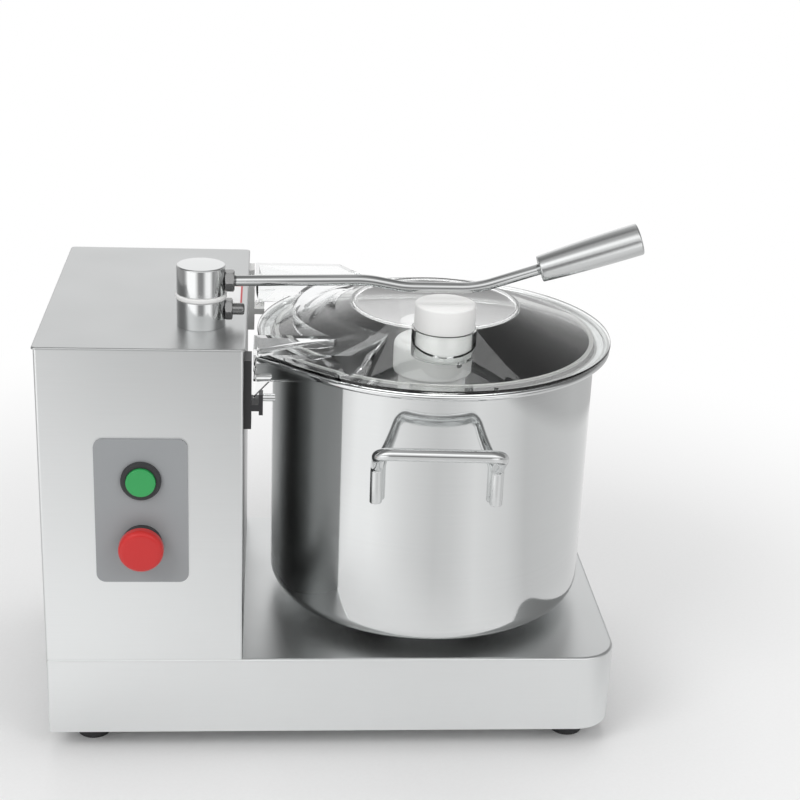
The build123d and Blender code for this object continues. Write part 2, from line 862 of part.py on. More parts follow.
# ================================================================ lid
lid_line = [
    (0, rim_top + lid_disc_height),
    (lid_disc_radius, rim_top + lid_disc_height),
    (lid_cone_radius, rim_top + lid_flange_top),
    (rim_radius, rim_top + lid_flange_top),
]
with BuildPart() as lid:
    with BuildSketch(axis_section):
        with BuildLine():
            FilletPolyline(*lid_line, radius=lid_bend)
            offset(amount=lid_wall, side=Side.RIGHT)
        make_face()
        with Locations((lid_disc_radius - disc_bead_width, rim_top + lid_disc_height)):
            Rectangle(disc_bead_width, 2 * disc_bead_height)
    revolve(axis=axis_line)
    with BuildSketch(at_height(rim_top + lid_flange_top)):
        with PolarLocations(pip_circle, 1, start_angle=pip_angle):
            Circle(pip_radius)
    extrude(amount=pip_height)
    with BuildSketch(at_height(rim_top + collar_above_rim, axis_x, lever_y)):
        Circle(collar_radius)
    extrude(amount=collar_top - rim_top - collar_above_rim)
    with BuildSketch(at_height(rim_top - 2 * rim_bead, axis_x, lever_y)):
        Circle(collar_bore)
    extrude(amount=2 * lid_disc_height, mode=Mode.SUBTRACT)
finish(lid, "lid")

with BuildPart() as lid_seal:
    with BuildSketch(at_height(rim_top + lid_flange_top - lid_wall)):
        Circle(bowl_inner - lid_seat_gap)
        Circle(bowl_inner - lid_seat_gap - seal_width, mode=Mode.SUBTRACT)
    extrude(amount=-seal_depth)
finish(lid_seal, "lid_seal")


def yoke_plan(inset):
    """Plan of the yoke on the bowl axis, drawn this far inside its outline: a round middle
    between two slanted lines, and two arms back to the column."""
    slope = math.radians(yoke_end_angle)
    apex = -inset / math.sin(slope)
    with BuildSketch(at_height(yoke_base)) as plan:
        Circle(yoke_arc_radius - inset)
        with BuildLine():
            Polyline(
                (apex, 0),
                polar_point(2 * yoke_arc_radius, 180 - yoke_end_angle) + Vector(apex, 0),
                (-2 * yoke_arc_radius, 0),
                polar_point(2 * yoke_arc_radius, 180 + yoke_end_angle) + Vector(apex, 0),
                close=True,
            )
        make_face(mode=Mode.INTERSECT)
        outer = yoke_half_outer - inset
        inner = yoke_half_inner + inset
        for side in (-1, 1):
            with BuildLine():
                Polyline(
                    (inset - yoke_reach, side * outer),
                    (apex - outer / math.tan(slope), side * outer),
                    (apex - inner / math.tan(slope), side * inner),
                    (inset - yoke_reach, side * inner),
                    close=True,
                )
            make_face()
    return plan.sketch


with BuildPart() as lid_yoke:
    add(yoke_plan(0))
    extrude(amount=yoke_top - yoke_above_rim)
    extrude(yoke_plan(yoke_wall), amount=yoke_top - yoke_above_rim - yoke_wall, mode=Mode.SUBTRACT)
    with BuildSketch(axis_section):
        with BuildLine():
            lid_top = FilletPolyline(*[(r, z + yoke_bond_gap) for r, z in lid_line], radius=lid_bend)
            Polyline(
                lid_top @ 1,
                (rim_radius + yoke_rim_gap, (lid_top @ 1).Y),
                (rim_radius + yoke_rim_gap, yoke_base - yoke_wall),
                (0, yoke_base - yoke_wall),
                lid_top @ 0,
            )
        make_face()
    revolve(axis=axis_line, mode=Mode.SUBTRACT)
    for side in (-1, 1):
        lug_y = side * (yoke_half_outer - lug_inset)
        with BuildSketch(facing_front(lug_y + lug_thickness / 2)):
            with BuildLine():
                Polyline(
                    (-yoke_reach, yoke_base + yoke_wall),
                    (lug_width - yoke_reach, yoke_base + yoke_wall),
                    (lug_width - yoke_reach, yoke_base),
                    (-yoke_reach, yoke_base - lug_drop),
                    close=True,
                )
            make_face()
        extrude(amount=lug_thickness)
    with BuildSketch(at_height(yoke_base)):
        Circle(rim_radius + yoke_rim_gap)
    extrude(amount=2 * yoke_wall, mode=Mode.SUBTRACT)
finish(lid_yoke, "lid_yoke")

# ================================================================ feed plug
with BuildPart() as plug:
    with BuildSketch(at_height(plug_base, axis_x, lever_y)):
        Circle(plug_cap_radius)
    extrude(amount=plug_cap_height)
    fillet(plug.faces().sort_by(Axis.Z)[-1].edges(), plug_cap_round)
    with BuildSketch(at_height(plug_base, axis_x, lever_y)):
        Circle(plug_neck_radius)
    extrude(amount=-plug_neck_length)
    with BuildSketch(at_height(plug_base - plug_neck_length, axis_x, lever_y)):
        Circle(plug_neck_radius - plug_wall)
    extrude(amount=plug_neck_length + plug_cap_height - 2 * plug_wall, mode=Mode.SUBTRACT)
finish(plug, "feed_plug")

# ================================================================ lid brackets
for bracket_name, side in (("front_lid_bracket", -1), ("rear_lid_bracket", 1)):
    bracket_y = side * bracket_half_y
    with BuildPart() as lid_bracket:
        with BuildSketch(facing_front(bracket_y + bracket_width / 2, column_right)):
            with BuildLine():
                Polyline(
                    (0, rim_top + bracket_top),
                    (bracket_thickness, rim_top + bracket_top),
                    (bracket_thickness, bracket_arm_top),
                    (bracket_arm_reach, bracket_arm_top),
                    (bracket_arm_reach, bracket_arm_top - bracket_arm_thickness),
                    (bracket_thickness, bracket_arm_top - bracket_arm_thickness),
                    (bracket_thickness, rim_top - bracket_bottom),
                    (0, rim_top - bracket_bottom),
                    close=True,
                )
            make_face()
        extrude(amount=bracket_width)
        lip_y = bracket_y + side * (bracket_width / 2 - bracket_pin_inset)
        with BuildSketch(facing_front(lip_y + bracket_pin_inset, column_right)):
            with Locations((bracket_arm_reach - bracket_lip / 2, bracket_arm_top)):
                Rectangle(bracket_lip, 2 * bracket_lip_height)
        extrude(amount=2 * bracket_pin_inset)
        pin_z = bracket_arm_top + bracket_lip_height - bracket_pin_drop
        with BuildSketch(facing_right(column_right + bracket_arm_reach, lip_y, pin_z)):
            Circle(bracket_pin_neck)
        extrude(amount=-bracket_lip, mode=Mode.SUBTRACT)
        with BuildSketch(facing_right(column_right + bracket_thickness, bracket_y, rim_top)):
            with Locations((0, bracket_top - bracket_screw_from_top)):
                Circle(bracket_screw_radius)
            with Locations((0, bracket_screw_from_bottom - bracket_bottom)):
                Circle(bracket_screw_radius)
        extrude(amount=-bracket_thickness / 2, mode=Mode.SUBTRACT)
    finish(lid_bracket, bracket_name)

with BuildPart() as bracket_pins:
    for side in (-1, 1):
        lip_y = side * (bracket_half_y + bracket_width / 2 - bracket_pin_inset)
        with BuildSketch(facing_right(column_right + bracket_arm_reach, lip_y, pin_z)):
            Circle(bracket_pin_radius)
        extrude(amount=bracket_pin_length)
        with BuildSketch(facing_right(column_right + bracket_arm_reach, lip_y, pin_z)):
            Circle(bracket_pin_neck)
        extrude(amount=-bracket_lip)
finish(bracket_pins, "bracket_pins")

with BuildPart() as bracket_screws:
    for side in (-1, 1):
        with BuildSketch(facing_right(column_right + bracket_thickness, side * bracket_half_y, rim_top)):
            with Locations((0, bracket_top - bracket_screw_from_top)):
                Circle(bracket_screw_radius)
            with Locations((0, bracket_screw_from_bottom - bracket_bottom)):
                Circle(bracket_screw_radius)
        extrude(amount=-bracket_thickness / 2)
finish(bracket_screws, "bracket_screws")

# ================================================================ lever post and lever
with BuildPart() as pivot_bolt:
    with BuildSketch(at_height(shell_top, post_x, lever_y)):
        Circle(pivot_flange_radius)
    extrude(amount=-pivot_flange_thickness)
    with BuildSketch(at_height(shell_top, post_x, lever_y)):
        Circle(pivot_radius)
    extrude(amount=head_base + post_upper_height / 2 - shell_top)
finish(pivot_bolt, "pivot_bolt")

with BuildPart() as post_base_ring:
    with BuildSketch(at_height(post_base, post_x, lever_y)):
        Circle(post_radius)
        Circle(pivot_radius, mode=Mode.SUBTRACT)
    extrude(amount=post_lower_height)
    post_base_rim = post_base_ring.faces().sort_by(Axis.Z)[-1].edges().sort_by(SortBy.RADIUS)[-1]
    chamfer(post_base_rim, post_round / 2)
    with BuildSketch(facing_right(post_x, lever_y, post_base + stub_height)):
        Circle(stub_radius)
    extrude(amount=2 * post_radius, mode=Mode.SUBTRACT)
finish(post_base_ring, "post_base")

with BuildPart() as post_washer:
    with BuildSketch(at_height(washer_base, post_x, lever_y)):
        Circle(post_radius + post_washer_proud)
        Circle(pivot_radius, mode=Mode.SUBTRACT)
    extrude(amount=post_washer_thickness)
    washer_rim = post_washer.edges().filter_by(GeomType.CIRCLE).sort_by(SortBy.RADIUS)[-2:]
    fillet(washer_rim, post_round)
finish(post_washer, "post_washer")

with BuildPart() as stop_stub:
    with BuildSketch(facing_right(post_x + pivot_radius, lever_y, post_base + stub_height)):
        Circle(stub_radius)
    extrude(amount=post_radius - pivot_radius + stub_length)
    fillet(stop_stub.faces().sort_by(Axis.X)[-1].edges(), stub_round)
    with BuildSketch(at_height(post_base, post_x, lever_y)):
        Circle(pivot_radius)
    extrude(amount=post_lower_height, mode=Mode.SUBTRACT)
finish(stop_stub, "stop_stub")

with BuildPart() as stub_nut:
    with BuildSketch(facing_right(post_x + post_radius, lever_y, post_base + stub_height)):
        RegularPolygon(lock_nut_flats / 2, 6, major_radius=False)
        Circle(stub_radius, mode=Mode.SUBTRACT)
    extrude(amount=stub_nut_length)
finish(stub_nut, "stub_nut")

rod_root_z = rim_top + rod_root_height
with BuildPart() as lever_head:
    with BuildSketch(at_height(head_base, post_x, lever_y)):
        Circle(post_radius)
    extrude(amount=post_upper_height)
    fillet(lever_head.faces().sort_by(Axis.Z)[-1].edges(), post_round)
    with BuildSketch(at_height(head_base, post_x, lever_y)):
        Circle(pivot_radius + running_gap)
    extrude(amount=post_upper_height / 2 + running_gap, mode=Mode.SUBTRACT)

rod_start = (post_x + post_radius - rod_in_head, lever_y, rod_root_z)
rod_points = [
    rod_start,
    (axis_x - rod_knee, lever_y, rim_top + rod_knee_height),
    (axis_x - rod_low_start, lever_y, rim_top + rod_low_height),
    (axis_x + rod_low_end, lever_y, rim_top + rod_low_height),
    (
        axis_x + grip_start + rod_in_grip * grip_x,
        lever_y,
        rim_top + grip_start_height + rod_in_grip * grip_z,
    ),
]
with BuildPart() as lever_rod:
    with BuildLine() as rod_path:
        FilletPolyline(*rod_points, radius=rod_bend_radius)
    with BuildSketch(Plane(rod_path.line @ 0, z_dir=rod_path.line % 0)):
        Circle(rod_radius)
    sweep()
finish(lever_rod, "lever_rod")

rod_root_plane = Plane(rod_start, z_dir=Vector(*rod_points[1]) - Vector(*rod_start))
with BuildPart(mode=Mode.PRIVATE) as rod_socket:
    with BuildSketch(rod_root_plane):
        Circle(rod_radius)
    extrude(amount=2 * post_radius)
lever_head.part = lever_head.part - rod_socket.part
finish(lever_head, "lever_head")

with BuildPart() as lever_lock_nut:
    nut_plane = Plane(
        Vector(post_x + post_radius, lever_y, rod_root_z),
        x_dir=(0, 1, 0),
        z_dir=(1, 0, 0),
    )
    with BuildSketch(nut_plane):
        RegularPolygon(lock_nut_flats / 2, 6, major_radius=False)
    extrude(amount=lock_nut_length)
    with BuildSketch(rod_root_plane):
        Circle(rod_radius)
    extrude(amount=3 * post_radius, mode=Mode.SUBTRACT)
finish(lever_lock_nut, "lever_lock_nut")

grip_plane = Plane(
    origin=(axis_x + grip_start, lever_y, rim_top + grip_start_height),
    x_dir=(0, 1, 0),
    z_dir=(grip_x, 0, grip_z),
)
grip_section = Plane(
    origin=grip_plane.origin,
    x_dir=(-grip_z, 0, grip_x),
    z_dir=(0, -1, 0),
)
with BuildPart() as lever_grip:
    with BuildSketch(grip_section):
        with BuildLine():
            bottom_line = Line((0, 0), (grip_narrow, 0))
            belly = Spline(
                (grip_narrow, 0),
                (grip_belly, -grip_length / 2),
                (grip_wide, -grip_length),
            )
            end_line = Line((grip_wide, -grip_length), (0, -grip_length))
            Line((0, -grip_length), (0, 0))
        make_face()
    revolve(axis=Axis(grip_plane.origin, grip_plane.z_dir))
    fillet(lever_grip.edges().filter_by(GeomType.CIRCLE), grip_round)
    with BuildSketch(grip_plane):
        Circle(rod_radius)
    extrude(amount=rod_in_grip, mode=Mode.SUBTRACT)
finish(lever_grip, "lever_grip")

# ================================================================ controls
with BuildPart() as control_panel:
    with BuildSketch(facing_front(body_front, column_x, panel_z)):
        RectangleRounded(panel_width, panel_height, panel_corner)
        with Locations((0, button_spacing / 2), (0, -button_spacing / 2)):
            Circle(button_radius + button_gap, mode=Mode.SUBTRACT)
    extrude(amount=panel_thickness)
finish(control_panel, "control_panel")

with BuildPart() as button_bezels:
    with BuildSketch(facing_front(body_front - panel_thickness, column_x, panel_z)):
        with Locations((0, button_spacing / 2), (0, -button_spacing / 2)):
            Circle(bezel_radius)
            Circle(button_radius + button_gap, mode=Mode.SUBTRACT)
    extrude(amount=bezel_height)
    bezel_rims = button_bezels.faces().sort_by(Axis.Y)[:2].edges().sort_by(SortBy.RADIUS)[-2:]
    chamfer(bezel_rims, bezel_chamfer)
finish(button_bezels, "button_bezels")

bezel_face = body_front - panel_thickness - bezel_height
contact_face = body_front + sheet + contact_gap
with BuildPart() as start_button:
    with BuildSketch(facing_front(bezel_face - button_proud, column_x, start_z)):
        Circle(button_radius)
    extrude(amount=-(button_proud + bezel_height))
    fillet(start_button.faces().sort_by(Axis.Y)[0].edges(), button_round)
    with BuildSketch(facing_front(bezel_face, column_x, start_z)):
        Circle(button_stem)
    extrude(amount=-(contact_face - bezel_face - button_travel - button_gap))
finish(start_button, "start_button")

with BuildPart() as stop_button:
    with BuildSketch(facing_front(bezel_face - button_travel - button_proud, column_x, stop_z)):
        Circle(stop_radius)
    extrude(amount=stop_height)
    fillet(stop_button.faces().sort_by(Axis.Y)[0].edges(), stop_round)
    with BuildSketch(facing_front(bezel_face - button_travel - button_proud, column_x, stop_z)):
        Circle(button_radius)
    extrude(amount=-(button_travel + button_proud + bezel_height))
    with BuildSketch(facing_front(bezel_face, column_x, stop_z)):
        Circle(button_stem)
    extrude(amount=-(contact_face - bezel_face - button_travel - button_gap))
finish(stop_button, "stop_button")

with BuildPart() as contact_blocks:
    for block_z in (start_z, stop_z):
        with BuildSketch(facing_front(contact_face, column_x, block_z)):
            RectangleRounded(contact_block_size, contact_block_size, contact_block_round)
        extrude(amount=-contact_block_depth)
finish(contact_blocks, "contact_blocks")

# ================================================================ motor
with BuildPart() as motor_plate:
    with BuildSketch(at_height(base_top, column_x)) as mount_plan:
        plate_side = column_width - 2 * duct_margin + 2 * motor_plate_overlap
        Rectangle(plate_side, plate_side)
        Circle(motor_shaft_radius + 4 * motor_shaft_gap, mode=Mode.SUBTRACT)
        with PolarLocations(motor_flange_radius - 2 * motor_bolt_radius, 4, start_angle=45):
            Circle(motor_bolt_radius, mode=Mode.SUBTRACT)
    extrude(amount=motor_plate_thickness)
finish(motor_plate, "motor_plate")

with BuildPart() as motor_bolts:
    with BuildSketch(at_height(base_top, column_x)):
        with PolarLocations(motor_flange_radius - 2 * motor_bolt_radius, 4, start_angle=45):
            Circle(motor_bolt_radius)
    extrude(amount=motor_plate_thickness + motor_flange_thickness)
    with BuildSketch(at_height(motor_plate_top + motor_flange_thickness, column_x)):
        with PolarLocations(motor_flange_radius - 2 * motor_bolt_radius, 4, start_angle=45):
            RegularPolygon(motor_bolt_head, 6, major_radius=False)
    extrude(amount=motor_bolt_head_height)
finish(motor_bolts, "motor_bolts")

stator_radius = motor_radius - fin_height
with BuildPart() as motor_housing:
    with BuildSketch(at_height(motor_plate_top, column_x)):
        Circle(motor_flange_radius)
    extrude(amount=motor_flange_thickness)
    with BuildSketch(at_height(motor_plate_top, column_x)):
        Circle(stator_radius - fin_height)
    extrude(amount=motor_top - motor_plate_top)
    with BuildSketch(at_height(motor_plate_top + motor_flange_thickness + motor_bell, column_x)):
        Circle(stator_radius)
        with PolarLocations(stator_radius, fin_count):
            Rectangle(2 * fin_height, fin_thickness)
    extrude(amount=motor_length - 2 * motor_bell)
    with BuildSketch(at_height(motor_plate_top, column_x)):
        Circle(motor_shaft_radius + motor_shaft_gap)
    extrude(amount=motor_top - motor_plate_top, mode=Mode.SUBTRACT)
    with BuildSketch(at_height(motor_plate_top, column_x)):
        with PolarLocations(motor_flange_radius - 2 * motor_bolt_radius, 4, start_angle=45):
            Circle(motor_bolt_radius)
    extrude(amount=motor_flange_thickness, mode=Mode.SUBTRACT)
finish(motor_housing, "motor_housing")

with BuildPart() as terminal_box:
    box_middle = (motor_plate_top + motor_flange_thickness + motor_top) / 2
    with BuildSketch(facing_front(-motor_radius - terminal_box_depth, column_x, box_middle)):
        RectangleRounded(terminal_box_width, terminal_box_height, bend)
    extrude(amount=-terminal_box_depth)
finish(terminal_box, "terminal_box")

with BuildPart() as fan_cowl:
    with BuildSketch(at_height(motor_top, column_x)):
        Circle(motor_radius)
    extrude(amount=fan_cowl_height)
    fillet(fan_cowl.faces().sort_by(Axis.Z)[-1].edges(), 3 * fan_cowl_wall)
    offset(amount=-fan_cowl_wall, openings=fan_cowl.faces().sort_by(Axis.Z)[0])
    with BuildSketch(at_height(cowl_top, column_x)):
        with PolarLocations(cowl_slot_circle, cowl_slot_count):
            SlotOverall(cowl_slot_length, louvre_height)
    extrude(amount=-2 * fan_cowl_wall, mode=Mode.SUBTRACT)
finish(fan_cowl, "fan_cowl")

with BuildPart() as motor_shaft:
    with BuildSketch(at_height(pulley_bottom, column_x)):
        Circle(motor_shaft_radius)
    extrude(amount=cowl_top - 3 * fan_cowl_wall - pulley_bottom)
finish(motor_shaft, "motor_shaft")

with BuildPart() as cooling_fan:
    fan_bottom = motor_top + 2 * fan_cowl_wall
    fan_top = cowl_top - 4 * fan_cowl_wall
    with BuildSketch(at_height(fan_bottom, column_x)):
        Circle(2 * motor_shaft_radius)
        with PolarLocations((fan_radius + motor_shaft_radius) / 2, fan_blade_count):
            Rectangle(fan_radius - motor_shaft_radius, fan_blade_thickness)
    extrude(amount=fan_top - fan_bottom)
    with BuildSketch(at_height(fan_bottom, column_x)):
        Circle(fan_radius)
    extrude(amount=fan_cowl_wall)
    with BuildSketch(at_height(fan_bottom, column_x)):
        Circle(motor_shaft_radius)
    extrude(amount=fan_top - fan_bottom, mode=Mode.SUBTRACT)
finish(cooling_fan, "cooling_fan")

# ================================================================ electrics
with BuildPart() as control_box:
    control_box_y = body_back - control_box_from_back - control_box_width / 2
    with BuildSketch(facing_right(column_left + sheet, control_box_y, panel_z - button_spacing)):
        RectangleRounded(control_box_width, control_box_height, bend)
    extrude(amount=control_box_depth)
finish(control_box, "control_box")

with BuildPart() as run_capacitor:
    capacitor_x = column_right - sheet - capacitor_from_wall - capacitor_radius
    capacitor_y = body_back - 2 * sheet - 2 * capacitor_radius
    with BuildSketch(at_height(base_top, capacitor_x, capacitor_y)):
        Circle(capacitor_radius)
    extrude(amount=capacitor_length)
    fillet(run_capacitor.faces().sort_by(Axis.Z)[-1].edges(), bend)
finish(run_capacitor, "run_capacitor")

gland_x = column_x + window_width / 2 - gland_from_side
with BuildPart() as cable_gland:
    with BuildSketch(facing_front(body_back - gland_nut_length, gland_x, gland_height)):
        Circle(gland_radius)
    extrude(amount=-(gland_nut_length + sheet + gland_length))
    with BuildSketch(facing_front(body_back + sheet, gland_x, gland_height)):
        RegularPolygon(gland_nut_flats / 2, 6, major_radius=False)
    extrude(amount=-gland_nut_length)
    fillet(cable_gland.faces().sort_by(Axis.Y)[-1].edges(), bend)
    with BuildSketch(facing_front(body_back - gland_nut_length, gland_x, gland_height)):
        Circle(gland_bore)
    extrude(amount=-(gland_nut_length + sheet + gland_length), mode=Mode.SUBTRACT)
finish(cable_gland, "cable_gland")

with BuildPart() as interlock_switch:
    with BuildSketch(at_height(shell_top - switch_height, post_x - switch_from_post, lever_y)):
        RectangleRounded(switch_width, switch_length, switch_round)
    extrude(amount=switch_height)
finish(interlock_switch, "interlock_switch")
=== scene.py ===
# %% [markdown]
# # A tabletop bowl cutter
#
# The machine is a steel box on rubber feet. A square column at its left end holds the
# motor, a wide bowl stands on the right, and two curved blades spin in the bottom of
# the bowl. A clear lid covers the bowl, and a lever on a steel post swings over the lid
# to hold it down.
#
# The solid model gives every place and size. This notebook only adds what a solid model
# has not got: smooth skins for the pieces that catch the light, and finishes such as
# brushed steel, clear plastic and rubber. All pieces are in metres, in the frame of the
# solid model, so nothing is ever moved into place by eye.

import bmesh
import bpy
import numpy as np
from mathutils import Matrix


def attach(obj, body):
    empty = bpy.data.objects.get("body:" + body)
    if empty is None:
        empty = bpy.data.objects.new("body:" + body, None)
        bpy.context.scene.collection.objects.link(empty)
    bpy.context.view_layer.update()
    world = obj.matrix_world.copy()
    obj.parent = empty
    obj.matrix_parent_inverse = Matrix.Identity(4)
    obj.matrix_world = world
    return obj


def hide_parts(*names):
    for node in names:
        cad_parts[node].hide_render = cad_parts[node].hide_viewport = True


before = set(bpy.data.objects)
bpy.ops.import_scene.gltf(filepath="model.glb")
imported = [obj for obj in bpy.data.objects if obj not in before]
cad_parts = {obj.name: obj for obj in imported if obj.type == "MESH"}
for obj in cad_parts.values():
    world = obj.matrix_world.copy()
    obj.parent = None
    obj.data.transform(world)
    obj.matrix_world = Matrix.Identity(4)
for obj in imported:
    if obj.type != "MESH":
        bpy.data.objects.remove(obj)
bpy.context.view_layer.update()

# %% [markdown]
# ## Camera
#
# The camera looks down a little from the front, slightly from the left, and it is rolled
# by two degrees. Its angles are set as yaw, pitch and roll. From these come three unit
# vectors: forward, right and up. They are the columns of the camera's matrix, because a
# camera looks along its own -Z.

# %% Camera
camera_place = np.array([-0.0654, -1.418, 0.832])
camera_yaw, camera_pitch, camera_roll = np.radians([4.98, 21.13, 2.37])
camera_lens = 74.16


def looking(yaw, pitch, roll):
    """Camera axes. forward = (sin y cos p, cos y cos p, -sin p), right = (cos y, -sin y, 0)
    and up = right x forward; the roll r turns them to cos r right + sin r up and
    -sin r right + cos r up."""
    forward = np.array(
        [np.sin(yaw) * np.cos(pitch), np.cos(yaw) * np.cos(pitch), -np.sin(pitch)]
    )
    right = np.array([np.cos(yaw), -np.sin(yaw), 0.0])
    up = np.cross(right, forward)
    rolled_right = np.cos(roll) * right + np.sin(roll) * up
    rolled_up = -np.sin(roll) * right + np.cos(roll) * up
    return np.column_stack([rolled_right, rolled_up, -forward])


camera_matrix = np.eye(4)
camera_matrix[:3, :3] = looking(camera_yaw, camera_pitch, camera_roll)
camera_matrix[:3, 3] = camera_place
camera_data = bpy.data.cameras.new("camera")
camera_data.sensor_width = 36.0
camera_data.lens = camera_lens
camera = bpy.data.objects.new("camera", camera_data)
camera.matrix_world = Matrix(camera_matrix.tolist())
scene = bpy.context.scene
scene.collection.objects.link(camera)
scene.camera = camera
scene.view_settings.view_transform = "Standard"
print("camera at", camera_place, "lens", camera_lens)

# %% [markdown]
# ## Shader arithmetic
#
# A finish is a small network of nodes, and most of it is arithmetic: a mask times a
# depth, one minus a mask, and so on. Writing that as node after node hides the idea, so
# one small class wraps a node's output and lets plain Python operators add the Math
# nodes. Every other node comes from one method that takes its type, its settings and
# what goes into its sockets.


# %% A wrapper for shader sockets
class Signal:
    """One output socket of a node. Adding, subtracting, multiplying or dividing it by a
    number or by another Signal makes the Math node that does so."""

    def __init__(self, recipe, socket):
        self.recipe = recipe
        self.socket = socket

    def maths(self, operation, first, second):
        settings = {"operation": operation}
        return self.recipe.node("ShaderNodeMath", settings, {0: first, 1: second})

    def __add__(self, other):
        return self.maths("ADD", self, other)

    def __sub__(self, other):
        return self.maths("SUBTRACT", self, other)

    def __mul__(self, other):
        return self.maths("MULTIPLY", self, other)

    def __truediv__(self, other):
        return self.maths("DIVIDE", self, other)

    def __radd__(self, other):
        return self.maths("ADD", other, self)

    def __rsub__(self, other):
        return self.maths("SUBTRACT", other, self)

    def __rmul__(self, other):
        return self.maths("MULTIPLY", other, self)


class Recipe:
    """The node tree of one finish, or of the world."""

    def __init__(self, owner):
        owner.use_nodes = True
        self.owner = owner
        self.tree = owner.node_tree
        self.tree.nodes.clear()

    def node(self, kind, settings=None, inputs=None, out=0):
        """Makes a node of this kind, sets its settings first and then its sockets, and
        returns its output number out. A value is a number, a colour or a Signal."""
        made = self.tree.nodes.new(kind)
        for name, value in (settings or {}).items():
            if name == "stops":
                self.stops(made.color_ramp, value)
            else:
                setattr(made, name, value)
        for name, value in (inputs or {}).items():
            if isinstance(value, Signal):
                self.tree.links.new(value.socket, made.inputs[name])
            else:
                made.inputs[name].default_value = value
        return Signal(self, made.outputs[out]) if made.outputs else made

    def stops(self, ramp, stops):
        """Sets a ramp's stops from pairs of place and grey level, in rising order. A new
        ramp has a stop at each end, so only the ones between are added."""
        made = [ramp.elements[0], ramp.elements[-1]]
        made[1:1] = [ramp.elements.new(place) for place, level in stops[1:-1]]
        for element, (place, level) in zip(ramp.elements, stops):
            element.position = place
            element.color = (level, level, level, 1.0)

    def blend(self, factor, first, second):
        """Colour between first and second: first at factor 0 and second at factor 1."""
        settings = {"data_type": "RGBA"}
        return self.node("ShaderNodeMix", settings, {0: factor, 6: first, 7: second}, out=2)

    def place(self, stretch=(1.0, 1.0, 1.0)):
        """Object coordinates, in metres, multiplied by stretch."""
        where = self.node("ShaderNodeTexCoord", out="Object")
        settings = {"operation": "MULTIPLY"}
        return self.node("ShaderNodeVectorMath", settings, {0: where, 1: stretch})

    def around(self, axis):
        """Object coordinates measured from an upright axis, with no height."""
        settings = {"operation": "SUBTRACT"}
        moved = self.node("ShaderNodeVectorMath", settings, {0: self.place(), 1: axis})
        settings = {"operation": "MULTIPLY"}
        return self.node("ShaderNodeVectorMath", settings, {0: moved, 1: (1.0, 1.0, 0.0)})

    def length(self, vector):
        """Length of a vector."""
        return self.node("ShaderNodeVectorMath", {"operation": "LENGTH"}, {0: vector}, out=1)

    def noise(self, stretch, detail=2.0, roughness=0.5):
        """Soft random pattern from 0 to 1, with stretch bumps to the metre along X, Y, Z."""
        inputs = {
            "Vector": self.place(stretch),
            "Scale": 1.0,
            "Detail": detail,
            "Roughness": roughness,
        }
        return self.node("ShaderNodeTexNoise", {"normalize": True}, inputs)

    def bump(self, height, depth):
        """Surface normal of a relief of this height, from 0 to 1, times depth in metres."""
        inputs = {"Height": height, "Distance": depth, "Strength": 1.0}
        return self.node("ShaderNodeBump", {}, inputs)

    def surface(self, shader):
        """Sends a shader to the material's output."""
        self.node("ShaderNodeOutputMaterial", {}, {"Surface": shader})
        return self.owner


# %% [markdown]
# ## Finishes of metal
#
# Sheet steel is brushed: thousands of fine scratches, all in one direction. Across the
# scratches the noise changes within tenths of a millimetre and along them over many
# centimetres, so one noise texture stretched very unevenly gives the lines. They change
# the roughness and, by a relief of a few microns, the normal. A second, wide noise
# clouds the sheet a little, as handling and cleaning do.
#
# Polished steel has hardly any colour of its own: what one sees is its surroundings. The
# bowl's side mirrors the column next to it, and it can only be as dark there as the
# column's face is, so that one face of the column has painted shade: its colour is darker,
# as if it stood in shade.


# %% Metal
def grey(level, tint=(1.0, 1.0, 1.0)):
    """Colour of one level times a tint."""
    return (level * tint[0], level * tint[1], level * tint[2], 1.0)


LINE_SHARE, CLOUD_SHARE = 0.55, 0.45
LINE_SWING, CLOUD_SWING = 0.12, 0.06
# Where painted shade darkens a face, this share of the level is kept.
SHADE_SHARE = 0.5
NOWHERE = 9.0


def metal(
    name,
    level,
    roughness,
    stretch,
    depth,
    tint=(1.0, 1.0, 1.0),
    cloud=0.05,
    shade_beyond=NOWHERE,
):
    """Brushed, turned or polished metal. lines = fine noise of the given stretch, clouds =
    wide noise; roughness = mean + LINE_SWING (lines - 0.5) + CLOUD_SWING (clouds - 0.5).
    Beyond the given x limit the colour has painted shade, at a set share of the level."""
    recipe = Recipe(bpy.data.materials.new(name))
    lines = recipe.noise(stretch, detail=3.0)
    clouds = recipe.noise((9.0, 9.0, 9.0), detail=4.0)
    mask = lines * LINE_SHARE + clouds * CLOUD_SHARE
    dark, light = grey(level * (1 - cloud), tint), grey(level * (1 + cloud), tint)
    colour = recipe.blend(mask, dark, light)
    # Painted shade: beyond the x limit the colour drops to a share of the level, as if in
    # shade.
    across = recipe.node("ShaderNodeSeparateXYZ", {}, {0: recipe.place()}, out=0)
    shaded_face = across.maths("GREATER_THAN", across, shade_beyond)
    inputs = {
        "Base Color": recipe.blend(shaded_face, colour, grey(SHADE_SHARE * level, tint)),
        "Metallic": 1.0,
        "Roughness": roughness + (lines - 0.5) * LINE_SWING + (clouds - 0.5) * CLOUD_SWING,
        "Normal": recipe.bump(lines, depth),
    }
    return recipe.surface(recipe.node("ShaderNodeBsdfPrincipled", {}, inputs))


